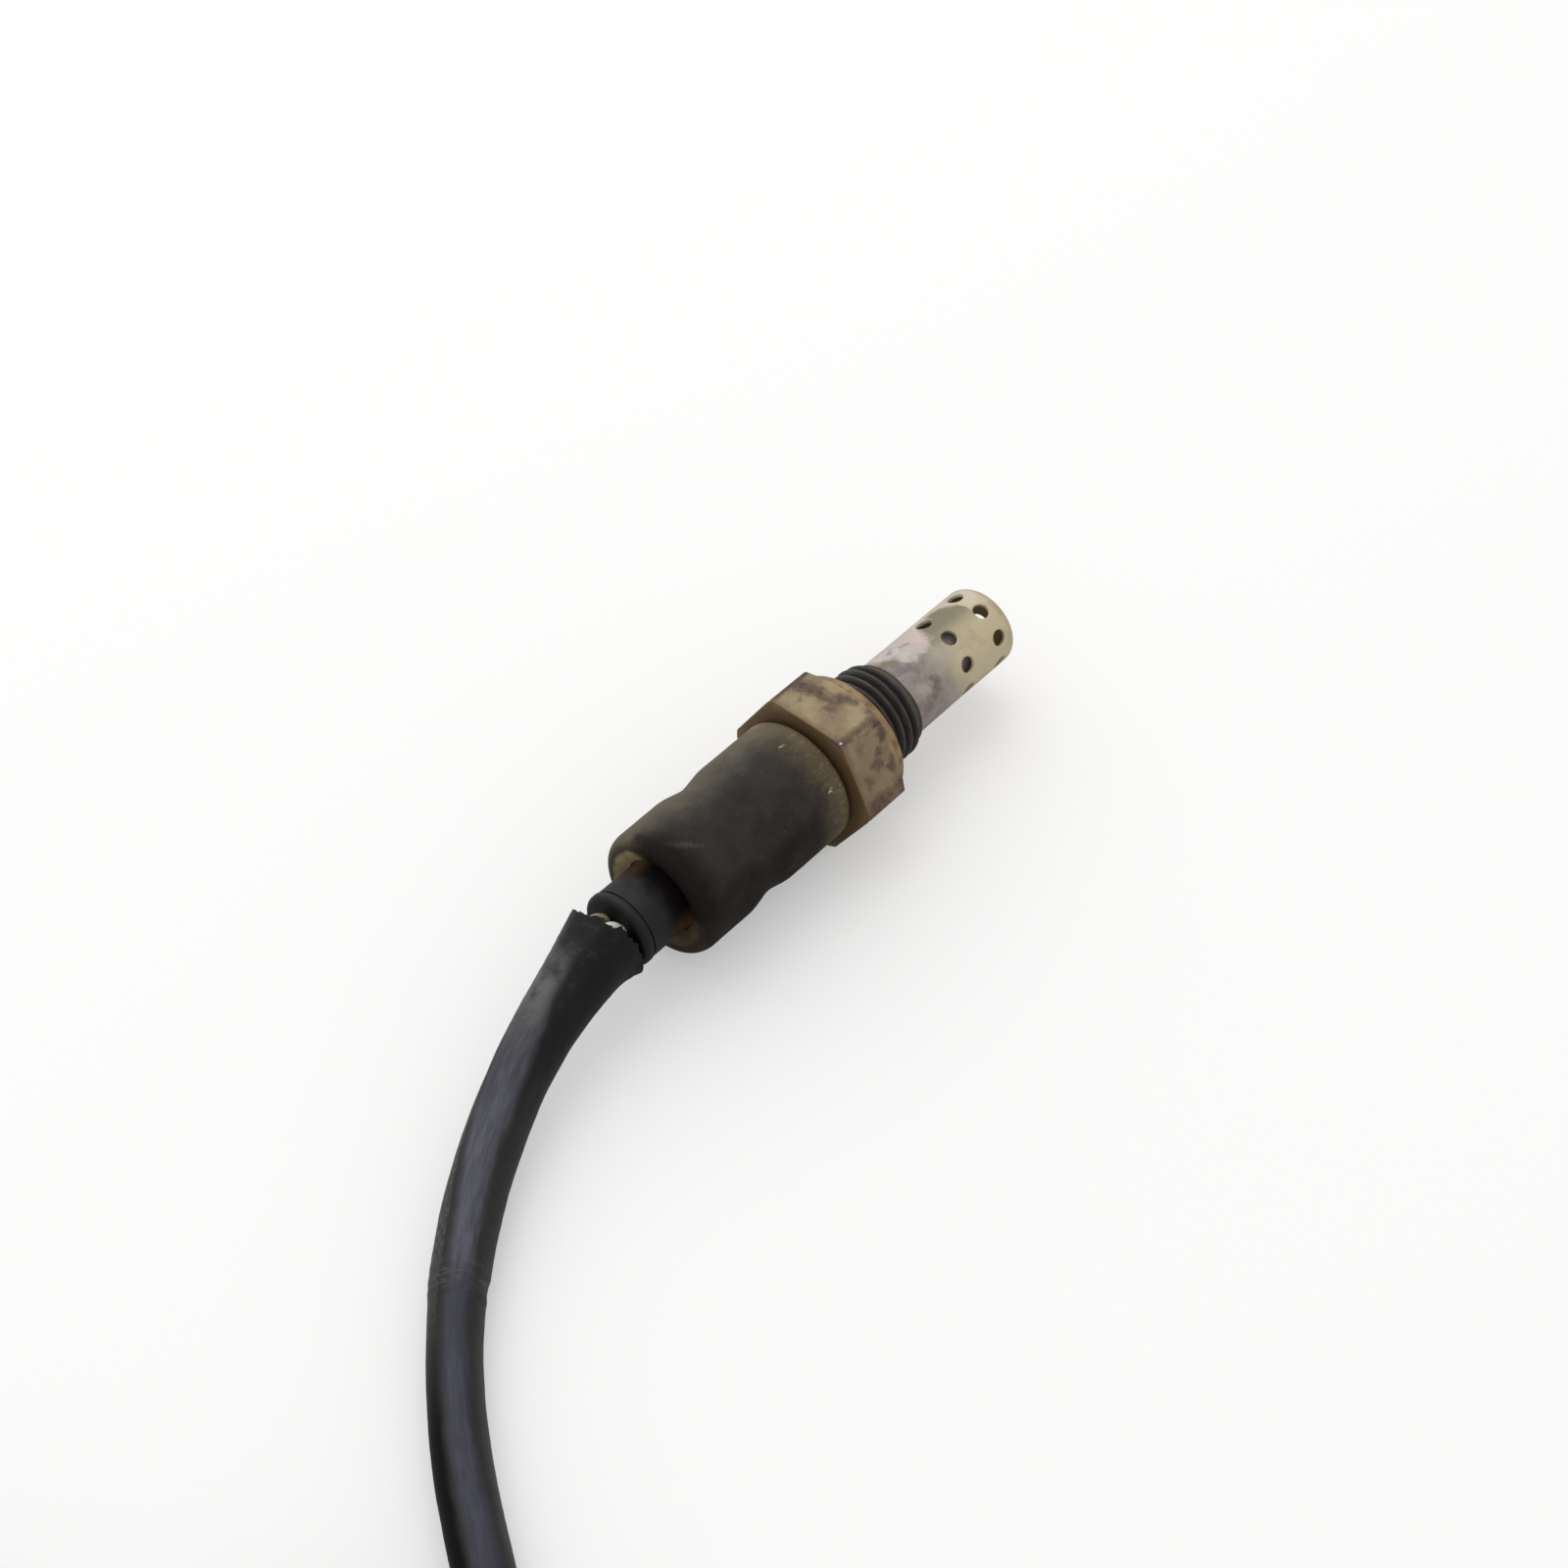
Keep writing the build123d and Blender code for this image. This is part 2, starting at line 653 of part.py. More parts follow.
with BuildPart() as cable_lead:
    cable_along(lead_route)
    # the sheath's torn end, flared where it was stretched over the grommet's tail
    with BuildSketch(mouth_plane) as flare:
        with BuildLine():
            Polyline(
                (0, 0),
                (0, mouth_diameter / 2),
                (0.2 * mouth_length, mouth_diameter / 2 - 0.25),
                (0.55 * mouth_length, cable_diameter / 2 + 0.55),
                (mouth_length, cable_diameter / 2),
                (mouth_length, 0),
                close=True,
            )
        make_face()
    revolve(flare.sketch, axis=mouth_axis)
    with BuildSketch(mouth_plane) as hollow:
        with BuildLine():
            Polyline(
                (0, 0),
                (0, mouth_diameter / 2 - mouth_wall),
                (mouth_depth, mouth_diameter / 2 - 2 * mouth_wall),
                (mouth_depth, 0),
                close=True,
            )
        make_face()
    revolve(hollow.sketch, axis=mouth_axis, mode=Mode.SUBTRACT)
    # ragged notches in the torn edge
    for tear_angle, tear_width, tear_depth in tears:
        outward = mouth_side.rotate(mouth_axis, tear_angle)
        with BuildSketch(Plane(origin=mouth_origin, x_dir=mouth_heading, z_dir=outward)) as notch:
            with BuildLine():
                Polyline((0, -tear_width / 2), (tear_depth, 0), (0, tear_width / 2), close=True)
            make_face()
        extrude(notch.sketch, amount=mouth_diameter, mode=Mode.SUBTRACT)
    add(coil_ring.part, mode=Mode.SUBTRACT)
save(cable_lead.part, "cable_lead")

with BuildPart() as cable_tail:
    cable_along(tail_route)
    add(coil_ring.part, mode=Mode.SUBTRACT)
save(cable_tail.part, "cable_tail")

# ---------------------------------------------------------------- plug
plug_heading = Vector(*tail_route[-1]) - Vector(*tail_route[-2])
plug_forward = Vector(plug_heading.X, plug_heading.Y, 0).normalized()
sheath_end = Vector(*tail_route[-1])


def plug_plane(distance):
    """Plane square to the plug's length, that far past the end of the sheath; local y is up."""
    side = plug_forward.cross(Vector(0, 0, 1)) * -1
    return Plane(origin=sheath_end + plug_forward * distance, x_dir=side, z_dir=plug_forward)


plug_rear = plug_wire_length - seal_length
plug_front = plug_rear + plug_length + plug_nose_length
chamber_end = plug_rear + seal_length + fit_gap
cavities = [(x * cavity_pitch / 2, y * cavity_pitch / 2) for x in (-1, 1) for y in (-1, 1)]
bundle = [(x * wire_diameter * 0.55, y * wire_diameter * 0.55) for x in (-1, 1) for y in (-1, 1)]

with BuildPart() as plug_housing:
    with BuildSketch(plug_plane(plug_rear)):
        RectangleRounded(plug_width, plug_width, plug_corner)
    extrude(amount=plug_length)
    with BuildSketch(plug_plane(plug_rear + plug_length)):
        RectangleRounded(nose_width, nose_width, plug_corner)
    extrude(amount=plug_nose_length)
    # latch: a spring arm over the nose with a catch at its free end
    latch_root = plug_rear + plug_length
    latch_end = latch_root + latch_reach
    latch_low = nose_width / 2 + latch_lift
    latch_plane = Plane(origin=sheath_end, x_dir=plug_forward, z_dir=plug_plane(0).x_dir * -1)
    latch_high = latch_low + latch_thickness
    with BuildSketch(latch_plane):
        with BuildLine():
            Polyline(
                (latch_root - latch_overlap, latch_low),
                (latch_end, latch_low),
                (latch_end, latch_high),
                (latch_end - catch_length + catch_slope, latch_high + catch_height),
                (latch_end - catch_length, latch_high + catch_height),
                (latch_end - catch_length, latch_high),
                (latch_root - latch_overlap, latch_high),
                close=True,
            )
        make_face()
    extrude(amount=latch_width / 2, both=True)
    for cavity in cavities:
        with BuildSketch(plug_plane(plug_rear)):
            with Locations(cavity):
                Circle(seal_bore / 2)
        extrude(amount=chamber_end - plug_rear, mode=Mode.SUBTRACT)
        with BuildSketch(plug_plane(chamber_end)):
            with Locations(cavity):
                Rectangle(cavity_width, cavity_width)
        extrude(amount=plug_front - chamber_end, mode=Mode.SUBTRACT)
    # recess for the retainer in the nose's face
    with BuildSketch(plug_plane(plug_front - retainer_thickness)):
        Rectangle(nose_width - 2 * retainer_rim, nose_width - 2 * retainer_rim)
    extrude(amount=retainer_thickness, mode=Mode.SUBTRACT)
save(plug_housing.part, "plug_housing")

with BuildPart() as terminal_retainer:
    retainer_width = nose_width - 2 * retainer_rim - 2 * fit_gap
    with BuildSketch(plug_plane(plug_front - retainer_thickness)):
        Rectangle(retainer_width, retainer_width)
        with Locations(*cavities):
            Rectangle(cavity_width * 0.6, cavity_width * 0.6, mode=Mode.SUBTRACT)
    extrude(amount=retainer_thickness)
save(terminal_retainer.part, "terminal_retainer")

with BuildPart() as face_seal:
    seal_inner = nose_width + 2 * fit_gap
    with BuildSketch(plug_plane(plug_rear + plug_length)):
        RectangleRounded(
            seal_inner + 2 * face_seal_thickness,
            seal_inner + 2 * face_seal_thickness,
            plug_corner + face_seal_thickness,
        )
        RectangleRounded(seal_inner, seal_inner, plug_corner, mode=Mode.SUBTRACT)
    extrude(amount=face_seal_width)
save(face_seal.part, "face_seal")

terminal_front = plug_front - retainer_thickness - fit_gap
for index, (cavity, bundled) in enumerate(zip(cavities, bundle)):
    with BuildPart() as wire_seal:
        for rib in range(seal_steps):
            grows = seal_rib if rib % 2 else 0
            with BuildSketch(plug_plane(plug_rear + rib * seal_length / seal_steps)):
                with Locations(cavity):
                    Circle(seal_bore / 2 - fit_gap - grows)
            extrude(amount=seal_length / seal_steps)
        with BuildSketch(plug_plane(plug_rear)):
            with Locations(cavity):
                Circle(wire_diameter / 2 + fit_gap)
        extrude(amount=seal_length, mode=Mode.SUBTRACT)
    save(wire_seal.part, f"wire_seal_{index + 1}")

    with BuildPart() as plug_terminal:
        with BuildSketch(plug_plane(terminal_front - receptacle_length)):
            with Locations(cavity):
                Rectangle(receptacle_width, receptacle_width)
        extrude(amount=receptacle_length)
        with BuildSketch(plug_plane(terminal_front - receptacle_length * 0.8)):
            with Locations(cavity):
                opening = receptacle_width - 2 * receptacle_wall
                Rectangle(opening, opening)
        extrude(amount=receptacle_length * 0.8, mode=Mode.SUBTRACT)
    save(plug_terminal.part, f"plug_terminal_{index + 1}")

    wire_path = [
        (bundled[0], bundled[1], 0.0),
        (bundled[0], bundled[1], 1.6),
        (cavity[0], cavity[1], plug_rear - 0.4),
        (cavity[0], cavity[1], terminal_front - receptacle_length - fit_gap),
    ]
    with BuildPart() as plug_wire:
        with BuildLine():
            FilletPolyline(*[plug_plane(0).from_local_coords(point) for point in wire_path], radius=2.5)
        with BuildSketch(plug_plane(0)):
            with Locations(bundled):
                Circle(wire_diameter / 2)
        sweep()
    save(plug_wire.part, f"plug_wire_{index + 1}")
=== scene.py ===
"""Heated oxygen sensor with a torn lead, lying on a pale table.

The frame is the CAD model: +X runs along the sensor towards its perforated tip, +Z is up, in metres.
Stations are distances along the sensor's axis from the hexagon's rear face, positive towards the tip.
"""

import bisect
import math

import bpy
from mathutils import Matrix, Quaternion, Vector, noise


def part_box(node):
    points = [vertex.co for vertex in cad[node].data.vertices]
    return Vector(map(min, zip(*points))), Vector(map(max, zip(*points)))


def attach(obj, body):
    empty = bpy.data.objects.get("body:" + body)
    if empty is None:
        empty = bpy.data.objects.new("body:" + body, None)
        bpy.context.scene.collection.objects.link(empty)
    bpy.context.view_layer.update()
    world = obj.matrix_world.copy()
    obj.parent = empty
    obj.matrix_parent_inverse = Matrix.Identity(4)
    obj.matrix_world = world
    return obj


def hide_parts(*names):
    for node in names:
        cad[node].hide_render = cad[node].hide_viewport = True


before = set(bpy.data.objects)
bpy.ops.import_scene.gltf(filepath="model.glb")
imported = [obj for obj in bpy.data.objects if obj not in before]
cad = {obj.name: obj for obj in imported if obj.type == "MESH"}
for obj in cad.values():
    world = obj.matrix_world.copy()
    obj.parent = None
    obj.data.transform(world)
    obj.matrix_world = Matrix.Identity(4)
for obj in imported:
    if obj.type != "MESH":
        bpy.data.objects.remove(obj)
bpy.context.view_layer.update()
scene = bpy.context.scene
scene.view_settings.view_transform = "Standard"
mm = 0.001

# ---------------------------------------------------------------- sizes taken from the frame
neck_length = 4.4 * mm
shell_low, shell_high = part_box("shell")
shield_low, shield_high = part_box("outer_shield")
axis_height = (shield_low.z + shield_high.z) / 2
hex_rear = shell_low.x + neck_length
shank_end = shell_high.x - hex_rear
shield_radius = (shield_high.z - shield_low.z) / 2
tip_station = shield_high.x - hex_rear
hex_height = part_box("seat_washer")[0].x - hex_rear
casing_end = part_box("casing")[0].x - hex_rear
boot_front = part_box("boot")[1].x - hex_rear
boot_slack = 0.3 * mm           # how far the boot has slid back
boot_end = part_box("boot")[0].x - hex_rear - boot_slack
tail_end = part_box("grommet")[0].x - hex_rear


def on_axis(station, angle=0.0, radius=0.0):
    """Point at a station; the angle is in degrees from straight up, positive towards +Y."""
    turn = math.radians(angle)
    return Vector(
        (hex_rear + station, radius * math.sin(turn), axis_height + radius * math.cos(turn))
    )


def numbered(name):
    """The four pieces of the frame that share a name."""
    return [cad[f"{name}_{number}"] for number in (1, 2, 3, 4)]


# ---------------------------------------------------------------- camera
camera_azimuth = math.radians(-51.09)
camera_elevation = math.radians(47.72)
camera_roll = math.radians(2.315)
camera_distance = 267.7 * mm
camera_aim = Vector((-1.41, 1.05, 7.78)) * mm

camera_data = bpy.data.cameras.new("camera")
camera_data.sensor_width = 36
camera_data.lens = 56.12
camera_data.clip_start = 0.01
camera_data.clip_end = 20
camera = bpy.data.objects.new("camera", camera_data)
scene.collection.objects.link(camera)
towards_camera = Vector(
    (
        math.sin(camera_azimuth) * math.cos(camera_elevation),
        -math.cos(camera_azimuth) * math.cos(camera_elevation),
        math.sin(camera_elevation),
    )
)
camera.location = camera_aim + towards_camera * camera_distance
camera.rotation_mode = "QUATERNION"
camera.rotation_quaternion = (-towards_camera).to_track_quat("-Z", "Y") @ Quaternion(
    (0, 0, 1), camera_roll
)
scene.camera = camera


# ---------------------------------------------------------------- mesh helpers
def mesh_object(name, vertices, faces, sharp_angle=40, uvs=None):
    """Smooth-shaded mesh with its own object; uvs gives each vertex a place in the texture plane."""
    mesh = bpy.data.meshes.new(name)
    mesh.from_pydata(vertices, [], faces)
    if uvs:
        layer = mesh.uv_layers.new(name="UVMap")
        for loop in mesh.loops:
            layer.data[loop.index].uv = uvs[loop.vertex_index]
    mesh.validate()
    mesh.shade_smooth()
    mesh.set_sharp_from_angle(angle=math.radians(sharp_angle))
    piece = bpy.data.objects.new(name, mesh)
    scene.collection.objects.link(piece)
    return piece


def grid_faces(row_count, column_count, close_rows=False):
    """Quads between neighbouring rows of points; each row closes on itself."""
    faces = []
    for row in range(row_count if close_rows else row_count - 1):
        low = row * column_count
        high = (row + 1) % row_count * column_count
        for column in range(column_count):
            after = (column + 1) % column_count
            faces.append((low + column, low + after, high + after, high + column))
    return faces


def turned_mesh(name, rows, columns, place, sharp_angle):
    """Closed piece round the sensor's axis; place gives the point of a row at an angle."""
    vertices = [place(row, 360 * column / columns) for row in rows for column in range(columns)]
    return mesh_object(name, vertices, grid_faces(len(rows), columns, True), sharp_angle)


def smooth_step(value, low, high):
    """0 below low, 1 above high and a smooth rise between them."""
    part = min(max((value - low) / (high - low), 0.0), 1.0)
    return part * part * (3 - 2 * part)


def quarter_turn(steps):
    """Angles from 0 to a right angle."""
    return [math.pi / 2 * step / steps for step in range(steps + 1)]


def spaced(start, end, step):
    """Evenly spaced values from start to end, about a step apart."""
    count = max(1, round(abs(end - start) / step))
    return [start + (end - start) * index / count for index in range(count + 1)]


# ---------------------------------------------------------------- cord: the torn lead
cable_diameter = 5.7 * mm
sheath_wall = 0.7 * mm
lying_height = 2.95 * mm
top_height = 8.75 * mm
coil_centre = Vector((-118.0, -47.0, 0)) * mm
coil_radius = 22.0 * mm
coil_entry = 322.0
coil_turning = 502.0            # degrees clockwise from the coil's first point to its last
coil_steps = 28
rise_start = 246.0              # the cord climbs on to its first turn between these two
rise_end = 316.0

# the part of the lead that the photo shows, and the cord from the coil to the plug, in metres
lead_route = [
    (-0.03115, 0.00010, 0.00840),
    (-0.04055, -0.00100, 0.00660),
    (-0.05560, -0.00700, 0.00420),
    (-0.06800, -0.01540, 0.00295),
    (-0.07790, -0.02580, 0.00295),
    (-0.08590, -0.03770, 0.00295),
    (-0.09490, -0.05240, 0.00295),
]
tail_route = [
    (-0.13970, -0.03750, 0.00850),
    (-0.13860, -0.02900, 0.00675),
    (-0.13700, -0.02150, 0.00675),
]


def coil_point(turned):
    """Point of the coil so many degrees on; before its second turn the cord climbs on to itself."""
    turn = math.radians(coil_entry - turned)
    climb = smooth_step(turned, rise_start, rise_end)
    height = lying_height + (top_height - lying_height) * climb
    return coil_centre + Vector(
        (coil_radius * math.cos(turn), coil_radius * math.sin(turn), height)
    )


coil_route = [coil_point(coil_turning * step / coil_steps) for step in range(coil_steps + 1)]
route_data = bpy.data.curves.new("lead_route", "CURVE")
route_data.dimensions = "3D"
route_data.resolution_u = 24
route_points = [*lead_route, *coil_route, *tail_route]
spline = route_data.splines.new("NURBS")
spline.points.add(len(route_points) - 1)
for control, place in zip(spline.points, route_points):
    control.co = (*place, 1)
spline.order_u = 3
spline.use_endpoint_u = True
route_object = bpy.data.objects.new("lead_route", route_data)
scene.collection.objects.link(route_object)
route_mesh = bpy.data.meshes.new_from_object(route_object)
cord_line = [vertex.co.copy() for vertex in route_mesh.vertices]
bpy.data.objects.remove(route_object)
bpy.data.meshes.remove(route_mesh)

cord_reach = [0.0]
for before, after in zip(cord_line, cord_line[1:]):
    cord_reach.append(cord_reach[-1] + (after - before).length)
cord_length = cord_reach[-1]

# width of the sheath at distances from its torn mouth, in millimetres
sheath_widths = [
    (0, 8.6), (4, 7.75), (8, 7.0), (12, 6.6), (18, 6.2),
    (28, 6.0), (36, 5.8), (40.2, 5.72), (42.2, 5.4), (46, 5.25),
    (52, 5.3), (60, 5.55), (72, 5.7),
]
# edge of the tear: angle from up towards +Y, how far it reaches towards the sensor, outward curl
torn_edge = [
    (-180, 0.2, 0.0), (-150, 0.3, 0.2), (-128, 0.2, 0.4), (-119, 0.3, 0.75),
    (-108, 0.5, 0.4), (-95, 0.9, 0.1), (-80, 0.8, 0.0), (-65, 1.1, 0.0),
    (-45, 0.9, 0.0), (-33, 1.2, 0.0), (-22, 0.6, 0.0), (-10, 0.4, 0.0),
    (2, 0.8, 0.0), (12, 0.5, 0.0), (24, 0.3, 0.0), (36, 0.5, 0.1),
    (44, 0.2, 0.1), (52, 0.9, 0.2), (59, 0.6, 0.3), (68, 0.0, 0.1),
    (80, -0.4, 0.0), (110, -0.6, 0.0), (140, 0.3, 0.0), (180, 0.2, 0.0),
]


def along(table, place):
    """Straight-line reading of the later columns of a table at a place in its first column."""
    for before, after in zip(table, table[1:]):
        if place <= after[0]:
            part = max(0.0, (place - before[0]) / (after[0] - before[0]))
            return [b + (a - b) * part for b, a in zip(before[1:], after[1:])]
    return list(table[-1][1:])


# the crease's and ripple's places and widths along the sheath are in millimetres
crease_reach = 40.1
crease_slant = 0.15
crease_width = 0.8
crease_side = -105.0            # angle of the inside of the bend, where the crease is deepest
crease_depth = 0.03 * mm
crease_inner_depth = 0.13 * mm
ripple_height = 0.02 * mm
ripple_pitch = 1.3
ripple_reach = 1.9
lobe_height = 0.06 * mm
lobe_count = 4                  # one over each wire inside
lobe_phase = 20.0
lobe_twist = 0.4                # degrees for each millimetre of sheath
lobes_start = 10.0 * mm
lobes_end = 30.0 * mm           # the lobes are full from here on
sheath_columns = 96
mouth_depth = 9.0 * mm
mouth_blend = 3.0 * mm          # how far the torn edge reaches along the sheath
wrinkled_end = 12.0 * mm
wrinkle_height = 0.05 * mm
mouth_wrinkle_height = 0.1 * mm
wrinkle_scale = 260             # wrinkles in a metre of sheath, coarse and fine
fine_wrinkle_scale = 900
fine_start = 35.0 * mm          # finer rings round the crease
fine_end = 43.0 * mm


def crease_offset(reach, angle):
    """Distance in millimetres from the crease, which runs slanting across the sheath."""
    return reach / mm - crease_reach + crease_slant * math.sin(math.radians(angle))


def sheath_radius(reach, angle):
    """Outer radius of the sheath at a distance from its mouth and an angle from up towards +Y."""
    radius = along(sheath_widths, reach / mm)[0] * mm / 2
    # the four wires inside show as shallow lengthwise lobes
    lobes = lobe_height * smooth_step(reach, lobes_start, lobes_end)
    turned = angle + reach / mm * lobe_twist
    radius += lobes * math.cos(math.radians(lobe_count * turned + lobe_phase))
    # crease, deepest on the inside of the bend, with a ripple on each side
    offset = crease_offset(reach, angle)
    inside = max(0.0, math.cos(math.radians(angle - crease_side)))
    crease = crease_depth + crease_inner_depth * inside**2
    radius -= crease * math.exp(-((offset / crease_width) ** 2))
    ripple = ripple_height * math.cos(2 * math.pi * offset / ripple_pitch)
    radius += ripple * math.exp(-((offset / ripple_reach) ** 2))
    return radius


def line_at(reach):
    """Point of the cord's line at a distance from its start, with the line's three directions."""
    index = min(max(bisect.bisect_right(cord_reach, reach) - 1, 0), len(cord_line) - 2)
    part = (reach - cord_reach[index]) / (cord_reach[index + 1] - cord_reach[index])
    tangents = []
    for near in (index, index + 1):
        before = cord_line[max(near - 1, 0)]
        after = cord_line[min(near + 1, len(cord_line) - 1)]
        tangents.append((after - before).normalized())
    tangent = tangents[0].lerp(tangents[1], part).normalized()
    side = tangent.cross(Vector((0, 0, 1))).normalized()
    point = cord_line[index].lerp(cord_line[index + 1], part)
    return point, tangent, side.cross(tangent).normalized(), side


def sheath_ring(start, wall=0.0, depth=0.0):
    """One ring of the sheath; the rings near the mouth follow the torn edge."""
    point, tangent, up, side = line_at(start)
    reach = start + depth
    ring = []
    for column in range(sheath_columns):
        angle = -180 + 360 * column / sheath_columns
        turn = math.radians(angle)
        around = Vector((math.cos(turn), math.sin(turn), 0))
        outward = up * around.x + side * around.y
        radius = sheath_radius(reach, angle) - wall
        near = max(0.0, 1 - reach / mouth_blend)
        tear, curl = along(torn_edge, angle)
        ragged = noise.noise(around * 9) * 0.35 + noise.noise(around * 27) * 0.15
        radius += curl * mm * near**2
        # uneven surface, with the deepest wrinkles near the mouth
        wrinkled = wrinkle_height + mouth_wrinkle_height * max(0.0, 1 - reach / wrinkled_end)
        around.z = reach * wrinkle_scale
        radius += noise.noise(around) * wrinkled
        around.z = reach * fine_wrinkle_scale
        radius += noise.noise(around * 2.2) * wrinkled * 0.35
        place = point + outward * radius + tangent * depth
        ring.append(place - tangent * (tear + ragged) * mm * near)
    return ring


sheath_rings = []
inner_depths = spaced(mouth_depth, 0, 0.6 * mm)
for depth in inner_depths:
    sheath_rings.append(sheath_ring(0, sheath_wall, depth))
ring_reaches = [
    *spaced(0, wrinkled_end, 0.25 * mm),
    *spaced(wrinkled_end, fine_start, 0.5 * mm)[1:],
    *spaced(fine_start, fine_end, 0.13 * mm)[1:],
    *spaced(fine_end, cord_length, 0.6 * mm)[1:],
]
for reach in ring_reaches:
    sheath_rings.append(sheath_ring(reach))

sheath_vertices = [point for ring in sheath_rings for point in ring]
sheath_faces = grid_faces(len(sheath_rings), sheath_columns)
first_ring = list(range(sheath_columns))
last_ring = [len(sheath_vertices) - sheath_columns + column for column in first_ring]
sheath_faces.append(tuple(reversed(first_ring)))
sheath_faces.append(tuple(last_ring))
reaches = [-depth for depth in inner_depths] + ring_reaches
sheath_uvs = [
    (column / sheath_columns, reach / (math.pi * cable_diameter))
    for reach in reaches
    for column in range(sheath_columns)
]
sheath = mesh_object("cable_sheath", sheath_vertices, sheath_faces, 50, sheath_uvs)
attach(sheath, "root")
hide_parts("cable_lead", "cable_coil", "cable_tail")

# ---------------------------------------------------------------- shell: hexagon and thread
hex_flats = 17.0 * mm
hex_face_radius = 8.03 * mm
hex_rear_chamfer = 0.35 * mm
relief_radius = 5.35 * mm
relief_length = 1.5 * mm
relief_end = hex_height + relief_length
thread_length = 4.6 * mm
nose_start = relief_end + thread_length
nose_radius = 5.45 * mm
thread_radius = 6.0 * mm
thread_pitch = 1.25 * mm
thread_depth = 0.72 * mm
thread_crest = 9.6 * mm         # station of a crest on the side towards the camera
thread_crest_angle = -30.0
thread_flank = (0.12, 0.88)     # start and end of a flank, from a crest to the middle of a root
thread_entry = 0.9 * mm         # length over which the thread rises behind the relief
neck_radius = 5.65 * mm
cavity_radius = 5.0 * mm
front_bore = 3.7 * mm
flange_bore = 5.0 * mm
shield_bore = 4.8 * mm
crimp_opening = 3.4 * mm
seat_station = 2.5 * mm
crimp_lip = 0.5 * mm
inner_flange_depth = 1.3 * mm   # depths of the shields' seats in the nose
shield_flange_depth = 0.6 * mm
nose_edge = 0.15 * mm
hex_corner = hex_flats / math.sqrt(3)
corner_wear = 0.28 * mm
pit_depth = 0.09 * mm
pit_scale = 900                 # pits in a metre
shell_allowance = 0.02 * mm     # keeps the worn surface inside the solid's


def hex_radius(angle):
    """Distance from the axis to the hexagon, whose corners are slightly worn."""
    from_flat = (angle + 30) % 60 - 30
    near = hex_flats / 2 / math.cos(math.radians(from_flat))
    other = hex_flats / 2 / math.cos(math.radians(60 - abs(from_flat)))
    part = max(0.0, corner_wear - (other - near)) / corner_wear
    return near - part * part * corner_wear / 4


def thread_surface(station, angle):
    """Radius of the thread, which runs out at both ends."""
    phase = (station - thread_crest) / thread_pitch - (angle - thread_crest_angle) / 360
    depth = thread_depth * smooth_step(abs(phase - round(phase)) * 2, *thread_flank)
    entry = smooth_step(station, relief_end - 0.15 * mm, relief_end + thread_entry)
    crest = relief_radius + (thread_radius - relief_radius) * entry
    taper = smooth_step(station, nose_start, shank_end)
    crest = min(crest, thread_radius + (nose_radius - thread_radius) * taper)
    floor = min(crest, thread_radius - thread_depth + 0.05 * mm)
    return max(crest - depth * entry, floor - 0.08 * mm)


def pits(place):
    """Depth of the shallow pits and dents of the surface at a place."""
    coarse = noise.noise(place * pit_scale)
    fine = noise.noise(place * pit_scale * 3.1)
    return max(0.0, pit_depth * (0.6 * min(coarse, 0.25) + 0.3 * fine))


shell_columns = 360

# bores, from the crimped neck to the nose
shell_bores = [
    (-neck_length, neck_radius),
    (-neck_length, crimp_opening),
    (-neck_length + crimp_lip, crimp_opening),
    (-neck_length + crimp_lip, cavity_radius),
    (seat_station, cavity_radius),
    (seat_station, front_bore),
    (shank_end - inner_flange_depth, front_bore),
    (shank_end - inner_flange_depth, flange_bore),
    (shank_end - shield_flange_depth, flange_bore),
    (shank_end - shield_flange_depth, shield_bore),
    (shank_end, shield_bore),
    (shank_end, nose_radius - nose_edge),
]
shell_relief = [(relief_end - 0.2 * mm, relief_radius), (hex_height, relief_radius)]
shell_rows = [("hex", station) for station in spaced(hex_height, 0, 0.12 * mm)]
shell_rows += [("rear face", part) for part in spaced(1.0, 0.0, 0.2)]
shell_rows += [("turned", place) for place in shell_bores]
shell_rows += [("thread", station) for station in spaced(shank_end, relief_end, 0.07 * mm)]
shell_rows += [("turned", place) for place in shell_relief]


def shell_point(kind, value, angle):
    """Station and radius of one point of the shell's surface."""
    if kind == "turned":
        return value
    if kind == "thread":
        return value, thread_surface(value, angle)
    if kind == "rear face":
        outer = min(hex_radius(angle), hex_corner - hex_rear_chamfer)
        return 0.0, neck_radius + (outer - neck_radius) * value
    front_cone = hex_face_radius + (hex_height - value) * math.sqrt(3)
    rear_cone = hex_corner - hex_rear_chamfer + value
    return value, min(hex_radius(angle), front_cone, rear_cone)


def shell_vertex(row, angle):
    """Point of a row of the shell; the hexagon and the thread are pitted."""
    station, radius = shell_point(*row, angle)
    if row[0] in ("hex", "thread"):
        radius -= pits(on_axis(station, angle, radius)) + shell_allowance
    return on_axis(station, angle, radius)


worn_shell = turned_mesh("worn_shell", shell_rows, shell_columns, shell_vertex, 32)
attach(worn_shell, "root")
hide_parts("shell")

